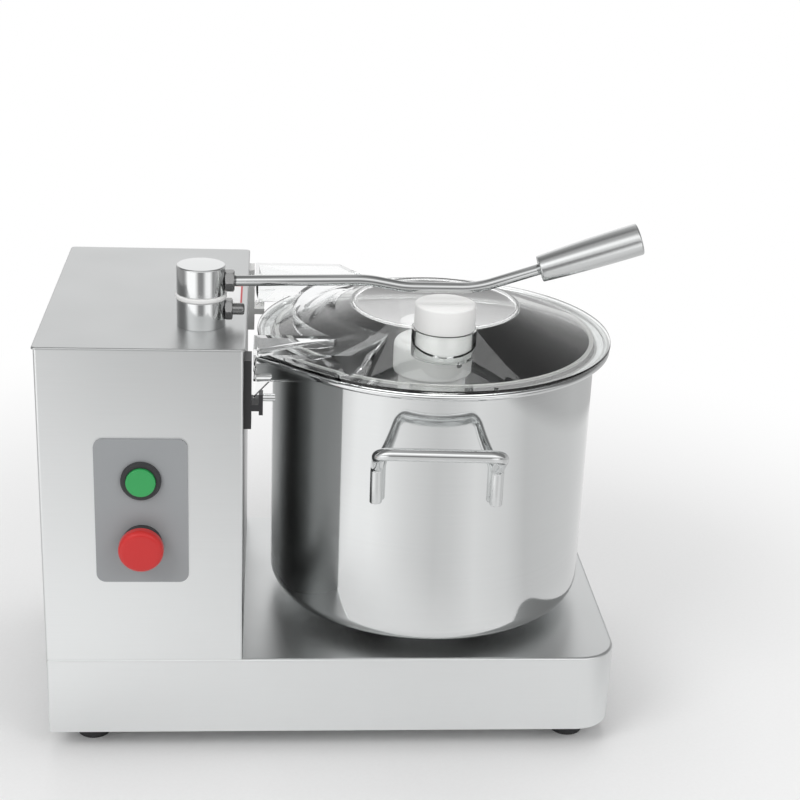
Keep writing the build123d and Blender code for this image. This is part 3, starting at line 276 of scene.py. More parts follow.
bowl_axis = (0.0866, 0.0, 0.0)
cool = (0.985, 1.0, 1.0)
brushed_steel = metal("brushed_steel", 0.65, 0.36, (14.0, 14.0, 2400.0), 3e-6, cool)
side_steel = metal("side_steel", 0.84, 0.36, (14.0, 14.0, 2400.0), 3e-6, cool)
# The column's face turned to the bowl, past this x, gets painted shade.
column_right = -0.0845
column_steel_painted_shade = metal(
    "column_steel_painted_shade", 0.84, 0.36, (14.0, 14.0, 2400.0), 3e-6, cool, shade_beyond=column_right
)
bowl_steel = metal("bowl_steel", 0.80, 0.07, (5.0, 5.0, 1900.0), 1e-6, cool)
# The bowl's inside: a little rougher, and its colour darker by painted shade.
inner_steel_painted_shade = metal("inner_steel_painted_shade", 0.58, 0.10, (5.0, 5.0, 1900.0), 1e-6, cool)
bright_steel = metal("bright_steel", 0.78, 0.10, (60.0, 60.0, 60.0), 2e-6, cool)
rod_steel = metal("rod_steel", 0.62, 0.12, (60.0, 900.0, 900.0), 2e-6, cool)
turned_steel = metal("turned_steel", 0.76, 0.11, (30.0, 30.0, 3600.0), 1.2e-5, cool)
grip_steel = metal("grip_steel", 0.72, 0.24, (9.0, 2200.0, 2200.0), 3e-6, cool)
blade_steel = metal("blade_steel", 0.66, 0.24, (900.0, 900.0, 20.0), 3e-6)
plain_steel = metal("plain_steel", 0.50, 0.34, (700.0, 700.0, 700.0), 3e-6)
nut_steel = metal("nut_steel", 0.28, 0.26, (500.0, 500.0, 500.0), 4e-6)
cast_alloy = metal("cast_alloy", 0.46, 0.52, (900.0, 900.0, 900.0), 3e-5)
print("metals:", len(bpy.data.materials))

# %% [markdown]
# ## Finishes of plastic, rubber and paint
#
# Moulded plastic has no lines. It has a very fine even texture from the mould, and its
# gloss changes softly from place to place. Rubber is the same with a rougher skin, and
# paint has wider, softer waves. One function covers them all: colour, roughness, how
# many bumps to the metre and how deep they are.


# %% Plastic, rubber and paint
def moulded(name, colour, roughness, bumps, depth, variation=0.06, coat=0.0):
    """Skin of one colour. fine = noise of this many bumps to the metre, wide = slow noise;
    the colour and the roughness follow wide, and the relief follows fine."""
    recipe = Recipe(bpy.data.materials.new(name))
    fine = recipe.noise((bumps, bumps, bumps), detail=2.0)
    wide = recipe.noise((14.0, 14.0, 14.0), detail=3.0)
    dark = tuple(c * (1 - variation) for c in colour) + (1.0,)
    light = tuple(min(1.0, c * (1 + variation)) for c in colour) + (1.0,)
    inputs = {
        "Base Color": recipe.blend(wide, dark, light),
        "Roughness": roughness + (wide - 0.5) * 0.14 + (fine - 0.5) * 0.06,
        "Coat Weight": coat,
        "Normal": recipe.bump(fine, depth),
    }
    return recipe.surface(recipe.node("ShaderNodeBsdfPrincipled", {}, inputs))


white_plastic = moulded("white_plastic", (0.83, 0.83, 0.82), 0.46, 1500.0, 6e-6, 0.02)
nylon = moulded("nylon", (0.80, 0.80, 0.79), 0.42, 1200.0, 6e-6, 0.03)
black_steel = moulded("black_steel", (0.022, 0.022, 0.024), 0.38, 900.0, 2e-5, 0.2)
black_plastic = moulded("black_plastic", (0.028, 0.028, 0.03), 0.45, 1400.0, 1e-5, 0.2)
rubber = moulded("rubber", (0.035, 0.035, 0.037), 0.72, 1800.0, 3e-5, 0.2)
seal_rubber = moulded("seal_rubber", (0.42, 0.42, 0.41), 0.6, 1500.0, 1e-5, 0.06)
belt_rubber = moulded("belt_rubber", (0.03, 0.03, 0.032), 0.8, 900.0, 4e-5, 0.2)
motor_paint = moulded("motor_paint", (0.17, 0.20, 0.23), 0.4, 600.0, 2e-5, 0.08)
green_plastic = moulded("green_plastic", (0.03, 0.33, 0.09), 0.3, 1400.0, 5e-6, 0.08)
red_plastic = moulded("red_plastic", (0.55, 0.02, 0.02), 0.3, 1400.0, 5e-6, 0.08)
panel_grey = moulded("panel_grey", (0.30, 0.31, 0.32), 0.42, 1200.0, 1e-5, 0.05)
print("finishes so far:", len(bpy.data.materials))

# %% [markdown]
# ## Clear plastic
#
# The lid is moulded in clear plastic three millimetres thick. It has to bend and mirror
# light, because the bright and dark lines at its bends are what makes it read as clear
# plastic, so it is a true refracting shader on a closed wall. Refraction stops lamps,
# which would leave the bowl in the dark, so a shadow ray passes straight through. The
# flat disc in the middle mirrors more than the cone round it, so it has a coat.


# %% Clear plastic
def clear_plastic(name, tint, roughness, index, coated=0.0):
    """Refracting plastic of this index, open to shadow rays, with faint wiping marks. Up
    to the distance coated from the bowl's axis it has a hard, more mirroring coat."""
    recipe = Recipe(bpy.data.materials.new(name))
    distance = recipe.length(recipe.around(bowl_axis))
    marks = recipe.noise((40.0, 240.0, 240.0), detail=4.0)
    inputs = {
        "Base Color": tint,
        "Roughness": roughness + marks * 0.03,
        "IOR": index,
        "Transmission Weight": 1.0,
        "Coat Weight": distance.maths("LESS_THAN", distance, coated),
        "Coat IOR": 2.1,
        "Coat Roughness": 0.02,
        "Normal": recipe.bump(recipe.noise((18.0, 18.0, 18.0), detail=1.0), 1.5e-5),
    }
    glass = recipe.node("ShaderNodeBsdfPrincipled", {}, inputs)
    open_air = recipe.node("ShaderNodeBsdfTransparent", {}, {"Color": tint})
    shadow = recipe.node("ShaderNodeLightPath", out="Is Shadow Ray")
    mixed = recipe.node("ShaderNodeMixShader", {}, {0: shadow, 1: glass, 2: open_air})
    return recipe.surface(mixed)


lid_plastic = clear_plastic("lid_plastic", (0.97, 0.98, 0.975, 1.0), 0.0, 1.49, 0.0735)
yoke_plastic = clear_plastic("yoke_plastic", (0.97, 0.975, 0.975, 1.0), 0.02, 1.12)
print("clear plastic made")

# %% [markdown]
# ## Give every solid node a finish
#
# The solid model's own nodes stay wherever their shape is already right, and each one
# gets a real finish instead of the flat colour it was packed with. A table names the
# finish of each group of nodes, and the loop puts it into the material slots.

# %% Finishes of the solid nodes
node_finishes = {
    brushed_steel: "top_cover bottom_plate",
    side_steel: "base_shell rear_panel",
    column_steel_painted_shade: "column_shell",
    bowl_steel: "bowl bowl_foot_ring",
    bright_steel: "front_handle rear_handle pivot_bolt bracket_pins spindle",
    rod_steel: "lever_rod",
    turned_steel: "post_base lever_head motor_shaft",
    grip_steel: "lever_grip",
    blade_steel: "lower_blade upper_blade",
    nut_steel: "lever_lock_nut stub_nut stop_stub knob_set_screw",
    plain_steel: "motor_plate motor_bolts foot_screws rear_panel_screws bracket_screws"
    " seat_screws seat_pins housing_bolts spindle_bearings run_capacitor",
    cast_alloy: "bowl_seat spindle_housing motor_pulley spindle_pulley",
    white_plastic: "feed_plug blade_knob blade_hub",
    nylon: "post_washer rear_lid_bracket",
    black_steel: "front_lid_bracket",
    black_plastic: "button_bezels contact_blocks control_box cable_gland"
    " interlock_switch cooling_fan terminal_box",
    rubber: "feet",
    belt_rubber: "drive_belt",
    seal_rubber: "lid_seal",
    motor_paint: "motor_housing fan_cowl",
    green_plastic: "start_button",
    red_plastic: "stop_button",
    panel_grey: "control_panel",
    lid_plastic: "lid",
    yoke_plastic: "lid_yoke",
}


def dress(node, finish):
    """Puts the finish into every material slot of a solid node."""
    if not node.material_slots:
        node.data.materials.append(finish)
    for slot in node.material_slots:
        slot.material = finish


dressed = [
    (dress(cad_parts[name], finish), name)[1]
    for finish, names in node_finishes.items()
    for name in names.split()
]
print("dressed", len(dressed), "missing", sorted(set(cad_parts) - set(dressed)))

# %% [markdown]
# ## Floor, studio and light
#
# The machine stands on a pale floor in a white room. Near the machine the floor is an
# ordinary matt surface that takes its shadow, and further out it fades into the white
# of the room. Polished steel shows whatever stands around it, and in a plain white room
# it would look like white paint. So for rays that come off a surface the room has grey
# tones. The floor's tone goes by the direction round the bowl, and further out by the
# direction round the post, which mirrors only that outer ring. The sky's tone is one by
# the angle over the machine, from front to back, times one by the direction round it.
# The lamps are three wide, soft panels at a plain level.

# %% The room's tone, by direction
# Pairs of place on a ramp and grey level.
AROUND = [
    (0.0, 0.66),
    (0.045, 0.77),
    (0.11, 1.0),
    (0.15, 1.0),
    (0.185, 0.78),
    (0.205, 0.62),
    (0.25, 0.55),
    (0.30, 0.50),
    (0.37, 0.42),
    (0.41, 0.50),
    (0.48, 1.0),
    (0.54, 1.0),
    (0.61, 0.75),
    (0.70, 0.67),
    (0.83, 0.61),
    (0.87, 0.74),
    (0.93, 0.82),
    (0.97, 0.70),
    (1.0, 0.66),
]
SKY_AROUND = [
    (0.0, 0.80),
    (0.11, 1.0),
    (0.17, 0.95),
    (0.19, 0.53),
    (0.233, 0.44),
    (0.30, 0.40),
    (0.36, 0.40),
    (0.42, 0.64),
    (0.47, 1.0),
    (0.532, 1.0),
    (0.565, 0.50),
    (0.60, 0.42),
    (0.72, 0.42),
    (0.80, 0.50),
    (0.90, 0.85),
    (1.0, 0.80),
]
OVERHEAD = [
    (0.0, 0.18),
    (0.079, 0.18),
    (0.097, 0.60),
    (0.131, 0.74),
    (0.172, 0.74),
    (0.212, 1.15),
    (0.286, 1.15),
    (0.32, 0.60),
    (0.375, 0.36),
    (0.625, 0.36),
    (0.705, 0.36),
    (0.78, 0.55),
    (0.83, 0.74),
    (1.0, 0.74),
]
BAND = 1.4
SKY_LIFT = 0.15
POST_AROUND = [
    (0.0, 0.28),
    (0.025, 0.33),
    (0.05, 0.9),
    (0.075, 1.3),
    (0.17, 1.3),
    (0.20, 0.60),
    (0.23, 0.30),
    (0.40, 0.40),
    (0.50, 0.50),
    (0.70, 0.55),
    (0.80, 0.42),
    (0.835, 0.30),
    (0.855, 0.75),
    (0.88, 1.2),
    (0.93, 1.1),
    (0.955, 0.55),
    (0.975, 0.28),
    (1.0, 0.28),
]
post_axis = (-0.1209, -0.083, 0.0)


def room_tone(recipe, where, stops=AROUND):
    """Grey level by direction: atan2(x, y) / 2 pi + 0.5, which is 0 and 1 towards the
    camera, 0.25 at the left, 0.5 at the back and 0.75 at the right."""
    parts = recipe.node("ShaderNodeSeparateXYZ", {}, {0: where}).socket.node.outputs
    across, away = Signal(recipe, parts[0]), Signal(recipe, parts[1])
    turn = across.maths("ARCTAN2", across, away) / (2 * np.pi) + 0.5
    return recipe.node("ShaderNodeValToRGB", {"stops": stops}, {0: turn})


def sky_tone(recipe, where):
    """Sky by direction (x, y, z): a tone by atan2(z + SKY_LIFT, -y) / pi, the angle over
    the machine from the front, 0, to the back, 1, times a tone by the angle round it."""
    parts = recipe.node("ShaderNodeSeparateXYZ", {}, {0: where}).socket.node.outputs
    away, height = Signal(recipe, parts[1]), Signal(recipe, parts[2])
    arch = away.maths("ARCTAN2", height + SKY_LIFT, 0.0 - away) / np.pi
    over = recipe.node("ShaderNodeValToRGB", {"stops": OVERHEAD}, {0: arch})
    return BAND * over * room_tone(recipe, where, SKY_AROUND)


def bounces(recipe, *kinds):
    """1 for a ray that has bounced in one of these ways, and 0 for others."""
    depths = [recipe.node("ShaderNodeLightPath", out=kind + " Depth") for kind in kinds]
    total = sum(depths[1:], depths[0])
    return total.maths("MINIMUM", total, 1.0)


# %% World
scene.world = bpy.data.worlds.new("white_room")
sky = Recipe(scene.world)
turned_away = bounces(sky, "Glossy", "Diffuse")
direction = sky.node("ShaderNodeTexCoord", out="Generated")
white = sky.node("ShaderNodeBackground", {}, {"Color": grey(1.0), "Strength": 1.0})
toned = sky.node("ShaderNodeBackground", {}, {"Color": sky_tone(sky, direction)})
soft_level = 0.55
soft = sky.node("ShaderNodeBackground", {}, {"Color": grey(1.0), "Strength": soft_level})
bounced = sky.node("ShaderNodeMixShader", {}, {0: bounces(sky, "Glossy"), 1: soft, 2: toned})
whole = sky.node("ShaderNodeMixShader", {}, {0: turned_away, 1: white, 2: bounced})
sky.node("ShaderNodeOutputWorld", {}, {"Surface": whole})
print("world set")


# %% Floor
def floor_finish():
    """Matt near the machine, white further out, and for a ray that has come off a glossy
    surface the room's tone. Each share grows from 0 to 1 between two distances in metres."""
    recipe = Recipe(bpy.data.materials.new("floor"))
    where = recipe.place()
    fine = recipe.noise((300.0, 300.0, 300.0))
    pale = recipe.blend(fine, grey(0.84), grey(0.88))
    matt = recipe.node("ShaderNodeBsdfDiffuse", {}, {"Color": pale})
    far = recipe.node("ShaderNodeEmission", {}, {"Color": grey(1.0), "Strength": 1.0})
    distance = recipe.length(where)
    smooth = {"interpolation_type": "SMOOTHSTEP"}
    matt_zone = {"Value": distance, "From Min": 0.35, "From Max": 1.0}
    fade = recipe.node("ShaderNodeMapRange", smooth, matt_zone)
    ground = recipe.node("ShaderNodeMixShader", {}, {0: fade, 1: matt, 2: far})
    from_bowl, from_post = recipe.around(bowl_axis), recipe.around(post_axis)
    post_zone = {"Value": recipe.length(from_post), "From Min": 0.93, "From Max": 0.99}
    post_share = recipe.node("ShaderNodeMapRange", {}, post_zone)
    near_tone = room_tone(recipe, from_bowl)
    far_tone = room_tone(recipe, from_post, POST_AROUND)
    tone = recipe.blend(post_share, near_tone, far_tone)
    toned = recipe.node("ShaderNodeEmission", {}, {"Color": tone})
    tone_zone = {"Value": distance, "From Min": 0.28, "From Max": 0.45}
    mirror = bounces(recipe, "Glossy") * recipe.node("ShaderNodeMapRange", smooth, tone_zone)
    whole = recipe.node("ShaderNodeMixShader", {}, {0: mirror, 1: ground, 2: toned})
    return recipe.surface(whole)


floor_mesh = bpy.data.meshes.new("floor")
floor_reach = 6.0
floor_corners = [(-1, -1), (1, -1), (1, 1), (-1, 1)]
floor_mesh.from_pydata(
    [(x * floor_reach, y * floor_reach, 0.0) for x, y in floor_corners], [], [(0, 1, 2, 3)]
)
floor = bpy.data.objects.new("floor", floor_mesh)
floor_mesh.materials.append(floor_finish())
scene.collection.objects.link(floor)


# %% Lamps
def soft_panel(name, place, aim, size, watts):
    """Square area lamp at place that shines towards aim."""
    data = bpy.data.lights.new(name, "AREA")
    data.shape = "SQUARE"
    data.size = size
    data.energy = watts
    lamp = bpy.data.objects.new(name, data)
    lamp.visible_glossy = False
    away = np.array(place) - np.array(aim)
    away = away / np.linalg.norm(away)
    side = np.cross((0.0, 0.0, 1.0), away)
    side = side / np.linalg.norm(side)
    turned = np.eye(4)
    turned[:3, :3] = np.column_stack([side, np.cross(away, side), away])
    turned[:3, 3] = place
    lamp.matrix_world = Matrix(turned.tolist())
    scene.collection.objects.link(lamp)
    return lamp


middle = (0.0, 0.0, 0.25)
soft_panel("left_panel", (-1.3, -1.3, 1.7), middle, 1.1, 17.0)
soft_panel("right_panel", (1.2, -1.5, 1.5), middle, 1.0, 9.0)
soft_panel("top_panel", (0.1, 0.5, 2.1), middle, 1.4, 12.0)

# %% [markdown]
# ## Surfaces from numbers
#
# Almost every piece of this machine was turned, bent or pressed, so three kinds of
# surface make them all: a profile turned round a line, a round bar carried along a
# path, and a plan with rounded corners carried up a profile. Each is a grid of points
# worked out as whole arrays, and one function turns a grid into a closed mesh. Sizes
# are written in millimetres, as on a drawing, and become metres in the mesh.

# %% A grid becomes a mesh
MM = 0.001
SMOOTH_ANGLE = np.radians(32.0)


def quads(rows, columns, along, around):
    """Corner numbers of the quads of a grid: quad (i, j) joins (i, j), (i, j + 1),
    (i + 1, j + 1) and (i + 1, j). along and around close it onto its first row and column."""
    number = np.arange(rows * columns).reshape(rows, columns)
    if along:
        number = np.vstack([number, number[:1]])
    if around:
        number = np.hstack([number, number[:, :1]])
    corners = (number[:-1, :-1], number[:-1, 1:], number[1:, 1:], number[1:, :-1])
    return np.stack(corners, axis=-1).reshape(-1, 4)


def grid_mesh(name, grid, along=False, around=True):
    """Mesh of a grid of points in millimetres, with doubled points merged and its faces
    turned outwards."""
    rows, columns = grid.shape[:2]
    faces = quads(rows, columns, along, around)
    mesh = bpy.data.meshes.new(name)
    mesh.from_pydata((grid.reshape(-1, 3) * MM).tolist(), [], faces.tolist())
    tidy = bmesh.new()
    tidy.from_mesh(mesh)
    bmesh.ops.remove_doubles(tidy, verts=tidy.verts, dist=2e-6)
    bmesh.ops.dissolve_degenerate(tidy, edges=tidy.edges, dist=1e-7)
    bmesh.ops.recalc_face_normals(tidy, faces=tidy.faces)
    tidy.to_mesh(mesh)
    tidy.free()
    return mesh


def unit(vector):
    """Vectors of length 1, along the last axis."""
    return vector / np.linalg.norm(vector, axis=-1, keepdims=True)


# %% Rounded corners
def soften(corners, radii, steps=8):
    """Line with rounded corners. At a corner C with unit vectors u and v towards its
    neighbours, half the angle between them is h; the arc's centre lies r / sin h from C
    along u + v, and it starts and ends r / tan h from C along u and v."""
    corners = np.array(corners, float)
    line = [corners[:1]]
    share = np.linspace(0.0, 1.0, steps + 1)[:, None]
    for before, corner, after, radius in zip(corners, corners[1:], corners[2:], radii):
        if not radius:
            line.append(corner[None])
            continue
        u, v = unit(before - corner), unit(after - corner)
        half = np.arccos(np.clip(u @ v, -1, 1)) / 2
        centre = corner + unit(u + v) * radius / np.sin(half)
        start = corner + u * radius / np.tan(half) - centre
        end = corner + v * radius / np.tan(half) - centre
        sweep = np.pi - 2 * half
        weights = np.sin((1 - share) * sweep), np.sin(share * sweep)
        line.append(centre + (weights[0] * start + weights[1] * end) / np.sin(sweep))
    line.append(corners[-1:])
    return np.vstack(line)


# %% Turned surfaces
def turned(profile, foot, axis=(0.0, 0.0, 1.0), sides=96):
    """Profile of (radius r, height h) turned round a line: the point at angle t is
    foot + h axis + r (cos t side + sin t other), with side and other square to the axis."""
    profile = np.array(profile, float)
    axis = unit(np.array(axis, float))
    helper = np.array([0.0, 1.0, 0.0]) if abs(axis[1]) < 0.9 else np.array([1.0, 0.0, 0.0])
    side = unit(np.cross(helper, axis))
    other = np.cross(axis, side)
    t = np.linspace(0.0, 2 * np.pi, sides, endpoint=False)
    ring = np.cos(t)[:, None] * side + np.sin(t)[:, None] * other
    return np.array(foot) + profile[:, 1, None, None] * axis + profile[:, 0, None, None] * ring


# %% Bars along a path
DOME_SHARE = 0.35


def bar(path, radius, upward, sides=32, cap=4):
    """Round bar along a path. At each point the tangent T is the unit difference of its
    neighbours, the side is T x upward and the third is side x T; the point at angle t is
    P + r (cos t side + sin t third). Both ends are closed by a low dome, DOME_SHARE r high."""
    path = np.array(path, float)
    tangent = unit(np.gradient(path, axis=0))
    quarter = np.linspace(0.0, np.pi / 2, cap + 1)
    dome = DOME_SHARE * radius
    first = path[0] - tangent[0] * dome * np.cos(quarter)[:, None]
    last = path[-1] + tangent[-1] * dome * np.cos(quarter)[::-1, None]
    points = np.vstack([first[:-1], path, last[1:]])
    ends = np.repeat(tangent[:1], cap, 0), np.repeat(tangent[-1:], cap, 0)
    along = np.vstack([ends[0], tangent, ends[1]])
    radii = np.concatenate(
        [np.sin(quarter)[:-1], np.ones(len(path)), np.sin(quarter)[::-1][1:]]
    )
    side = unit(np.cross(along, np.array(upward, float)))
    third = np.cross(side, along)
    t = np.linspace(0.0, 2 * np.pi, sides, endpoint=False)[None, :, None]
    ring = np.cos(t) * side[:, None] + np.sin(t) * third[:, None]
    return points[:, None] + radius * radii[:, None, None] * ring


# %% [markdown]
# ## Putting a piece into the scene
#
# Every new piece gets the same last steps. Its mesh becomes an object at the origin, its
# faces are shaded smooth except across true edges, it gets its finish, it rides on the
# body that carries it, and it hides the solid node that it stands for.


# %% Placing a piece
def add_piece(name, mesh, finish, body, slot, *nodes):
    """Adds a finished mesh as a piece that rides on body and stands for the nodes."""
    mesh.shade_smooth()
    mesh.set_sharp_from_angle(angle=SMOOTH_ANGLE)
    mesh.materials.clear()
    mesh.materials.append(finish)
    piece = bpy.data.objects.new(name, mesh)
    scene.collection.objects.link(piece)
    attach(piece, body)
    if nodes:
        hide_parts(*nodes)
    print(name, "faces", len(mesh.polygons), "on", body)
    return piece


# %% [markdown]
# ## The bowl
#
# The bowl is pressed from steel 1.5 mm thick. Its profile runs down a chimney in the
# middle, across the floor, up the wall and out into a flange that is rolled into a
# bead. The inner face is the same line moved inwards by the wall, and the bead is the
# part of a circle that the flange leaves free. The inside is a little rougher than the
# outside, and its colour has painted shade, darker as if in shade, so the mesh has two
# finishes, told apart by which way its faces look.

# %% Bowl
axis_x = 86.566
rim_top = 348.0
bowl_bottom = 105.0
bowl_radius = 146.5
bowl_wall = 1.5
rim_radius = 160.0
rim_bead = 3.05
chimney_inner = 21.0
chimney_top = 255.0


def bowl_profile():
    """Outer line, round the bead, and back along the inner line."""
    flange = rim_top - rim_bead
    bead_x = rim_radius - rim_bead
    half = bowl_wall / 2
    outer = soften(
        [
            (chimney_inner, chimney_top),
            (chimney_inner, bowl_bottom),
            (bowl_radius, bowl_bottom),
            (bowl_radius, flange - half),
            (bead_x - rim_bead, flange - half),
        ],
        (5.0, 16.0, 4.0),
    )
    start = np.pi + np.arcsin(half / rim_bead)
    t = np.linspace(start, start + 2 * np.pi - 2 * (start - np.pi), 25)
    bead = np.stack([bead_x + rim_bead * np.cos(t), flange + rim_bead * np.sin(t)], axis=1)
    inner = soften(
        [
            (bead_x - rim_bead, flange + half),
            (bowl_radius - bowl_wall, flange + half),
            (bowl_radius - bowl_wall, bowl_bottom + bowl_wall),
            (chimney_inner + bowl_wall, bowl_bottom + bowl_wall),
            (chimney_inner + bowl_wall, chimney_top),
        ],
        (5.5, 14.5, 5.0),
    )
    return np.vstack([outer, bead, inner])


bowl_grid = turned(bowl_profile(), (axis_x, 0, 0), sides=224)
bowl_mesh = grid_mesh("bowl_skin", bowl_grid, along=True)
add_piece("bowl_skin", bowl_mesh, bowl_steel, "bowl", "bowl_stainless", "bowl")


chimney_band = 6.0
flange_depth = 6.5


def inner_faces(mesh):
    """Faces of the chimney and those that look inwards or up, n . (x - a, y) < 0 or
    n z > 0.3, all below the flange."""
    count = len(mesh.polygons)
    normals, centres = np.empty(count * 3), np.empty(count * 3)
    mesh.polygons.foreach_get("normal", normals)
    mesh.polygons.foreach_get("center", centres)
    normals, centres = normals.reshape(-1, 3), centres.reshape(-1, 3) / MM
    outward = centres - (axis_x, 0.0, 0.0)
    inwards = (normals[:, :2] * outward[:, :2]).sum(1) < -1e-3
    chimney = np.hypot(outward[:, 0], outward[:, 1]) < chimney_inner + chimney_band
    upwards = normals[:, 2] > 0.3
    return (inwards | upwards | chimney) & (centres[:, 2] < rim_top - flange_depth)


# The inside faces get the second finish, the one with painted shade.
inside = inner_faces(bowl_mesh)
bowl_mesh.materials.append(inner_steel_painted_shade)
bowl_mesh.polygons.foreach_set("material_index", inside.astype(np.int32))
print("inner faces", int(inside.sum()))

# %% [markdown]
# ## The bowl's handles
#
# Each handle is one bar of round steel. Its two legs are welded to the wall, it leans
# outwards and runs across in front of the bowl. It is a path with rounded corners and a
# round bar along it.

# %% Handles
bowl_turn = -2.6
handle_bar = 5.5
handle_half_span = 51.5
handle_bend = 11.0


def handle_path(degrees):
    """Points of a handle, in a frame turned by these degrees about the bowl's axis:
    (across, outwards, below the rim)."""
    wall = np.sqrt(bowl_radius**2 - handle_half_span**2) + handle_bar - 1.2
    side, out, drop = np.array(
        [
            (-1, wall, 105.0),
            (-1, wall, 72.0),
            (-1, 180.0, 45.0),
            (1, 180.0, 45.0),
            (1, wall, 72.0),
            (1, wall, 105.0),
        ]
    ).T
    turn = np.radians(degrees)
    across = np.array([np.cos(turn), np.sin(turn), 0.0])
    back = np.array([-np.sin(turn), np.cos(turn), 0.0])
    upright = np.array([0.0, 0.0, 1.0])
    centre = np.array([axis_x, 0.0, rim_top])
    corners = (
        centre
        + (side * handle_half_span)[:, None] * across
        - out[:, None] * back
        - drop[:, None] * upright
    )
    return soften(corners, [handle_bend] * 4, steps=10), back + upright


for handle, degrees in (("front_handle", bowl_turn), ("rear_handle", 180 + bowl_turn)):
    path, upward = handle_path(degrees)
    handle_mesh = grid_mesh(handle + "_bar", bar(path, handle_bar, upward))
    add_piece(handle + "_bar", handle_mesh, bright_steel, "bowl", "bowl_stainless", handle)

# %% [markdown]
# ## The clear lid
#
# The lid is one moulding: a flat disc, a cone and a flange, with a round collar for the
# feed plug that cuts through the edge of the disc. The dome is a turned profile and so
# is the collar, but where they meet is no simple line, so that joint is left to
# Blender's Boolean modifier: add the collar, then take away its bore. A small pip that
# stands on the flange is added in the same way.

# %% Lid
lever_y = -83.0
lid_wall = 3.0
lid_disc_radius = 76.5
lid_disc_top = rim_top + 29.5
lid_cone_radius = 145.0
lid_flange_top = rim_top + 3.9
collar_radius = 28.0
collar_bore = 25.6
collar_top = rim_top + 33.3


def lid_profile():
    """Top line from the middle to the rim, and back along the line one wall below it.
    A raised line runs round the edge of the disc."""
    corners = np.array(
        [
            (0.0, lid_disc_top),
            (lid_disc_radius, lid_disc_top),
            (lid_cone_radius, lid_flange_top),
            (rim_radius, lid_flange_top),
        ]
    )
    slope = unit(corners[2] - corners[1])
    tilt = np.arctan2(-slope[1], slope[0])
    shift = lid_wall * np.tan(tilt / 2)
    below = corners[::-1] - [(0, lid_wall), (shift, lid_wall), (shift, lid_wall), (0, lid_wall)]
    top = soften(corners, (2.2, 5.0))
    bead = soften(
        [
            (lid_disc_radius - 4.6, lid_disc_top),
            (lid_disc_radius - 3.2, lid_disc_top + 0.5),
            (lid_disc_radius - 2.2, lid_disc_top + 0.5),
            (lid_disc_radius - 0.8, lid_disc_top),
        ],
        (0.8, 0.8),
        steps=4,
    )
    top = np.vstack([top[:1], bead, top[1:]])
    edge = soften([top[-1], top[-1] + (0.6, -1.5), below[0]], (1.2,), steps=6)
    return np.vstack([top[:-1], edge[:-1], soften(below, (8.0, 5.0))])


def cut(mesh, tool, operation):
    """Mesh after one Boolean with the tool mesh, which is used up."""
    target = bpy.data.objects.new("target", mesh)
    other = bpy.data.objects.new("tool", tool)
    scene.collection.objects.link(target)
    scene.collection.objects.link(other)
    step = target.modifiers.new("cut", "BOOLEAN")
    step.operation = operation
    step.solver = "EXACT"
    step.object = other
    bpy.context.view_layer.update()
    graph = bpy.context.evaluated_depsgraph_get()
    result = bpy.data.meshes.new_from_object(target.evaluated_get(graph))
    for used in (target, other):
        used_mesh = used.data
        bpy.data.objects.remove(used)
        bpy.data.meshes.remove(used_mesh)
    return result


def plug_disc(name, radius, low, high, sides=128):
    """Solid cylinder on the plug's line."""
    profile = [(0.0, low), (radius, low), (radius, high), (0.0, high)]
    return grid_mesh(name, turned(profile, (axis_x, lever_y, 0), sides=sides))


dome = grid_mesh("dome", turned(lid_profile(), (axis_x, 0, 0), sides=240))
collar = plug_disc("collar", collar_radius, rim_top + 8.0, collar_top)
bore = plug_disc("bore", collar_bore, rim_top - 6.0, collar_top + 9.0)
pip_angle = np.radians(-76.0)
pip_circle = 157.0
pip_foot = (axis_x + pip_circle * np.cos(pip_angle), pip_circle * np.sin(pip_angle), 0)
pip_profile = soften(
    [
        (0.0, lid_flange_top - 0.8),
        (2.0, lid_flange_top - 0.8),
        (2.0, lid_flange_top + 1.2),
        (0.0, lid_flange_top + 1.2),
    ],
    (0.0, 0.7),
)
pip = grid_mesh("pip", turned(pip_profile, pip_foot, sides=32))
lid_mesh = cut(cut(cut(dome, collar, "UNION"), bore, "DIFFERENCE"), pip, "UNION")
lid_mesh.name = "lid_moulding"
add_piece("lid_moulding", lid_mesh, lid_plastic, "lid", "clear_lid", "lid")

# %% [markdown]
# ## The feed plug, the knob and their screw
#
# The plug that closes the collar and the knob that holds the blades down are both
# turned from white plastic, with rounded top edges. The knob has a small ball-headed
# screw in its side.

# %% Plug and knob
plug_base = collar_top + 0.3
plug_top = plug_base + 22.0
plug_foot = plug_base - 25.0
plug_roof = plug_top - 3.0
cap_radius = 26.2
spigot_radius = 24.2
hollow_radius = 21.2
cap_side = [(cap_radius, plug_top), (cap_radius, plug_base)]
spigot_side = [(spigot_radius, plug_base), (spigot_radius, plug_foot)]
plug_profile = np.vstack(
    [
        [(0.0, plug_top)],
        soften([(0.0, plug_top), *cap_side], (1.8,))[1:-1],
        soften([*cap_side, spigot_side[0]], (0.5,), 3)[1:-1],
        soften([*spigot_side, (hollow_radius, plug_foot)], (0.8,), 3),
        [(hollow_radius, plug_roof), (0.0, plug_roof)],
    ]
)
plug_mesh = grid_mesh("plug_body", turned(plug_profile, (axis_x, lever_y, 0)))
add_piece("plug_body", plug_mesh, white_plastic, "plug", "white_plastic", "feed_plug")

knob_top = 342.0
knob_bottom = 310.0
knob_radius = 36.0
thread_radius = 10.1
thread_end = 334.0
knob_profile = np.vstack(
    [
        [(0.0, knob_top)],
        soften(
            [
                (0.0, knob_top),
                (knob_radius, knob_top),
                (knob_radius, knob_bottom),
                (thread_radius, knob_bottom),
                (thread_radius, thread_end),
            ],
            (7.0, 3.5, 0.0),
        )[1:],
        [(0.0, thread_end)],
    ]
)
knob_mesh = grid_mesh("knob_body", turned(knob_profile, (axis_x, 0, 0)))
add_piece("knob_body", knob_mesh, white_plastic, "rotor", "white_plastic", "blade_knob")

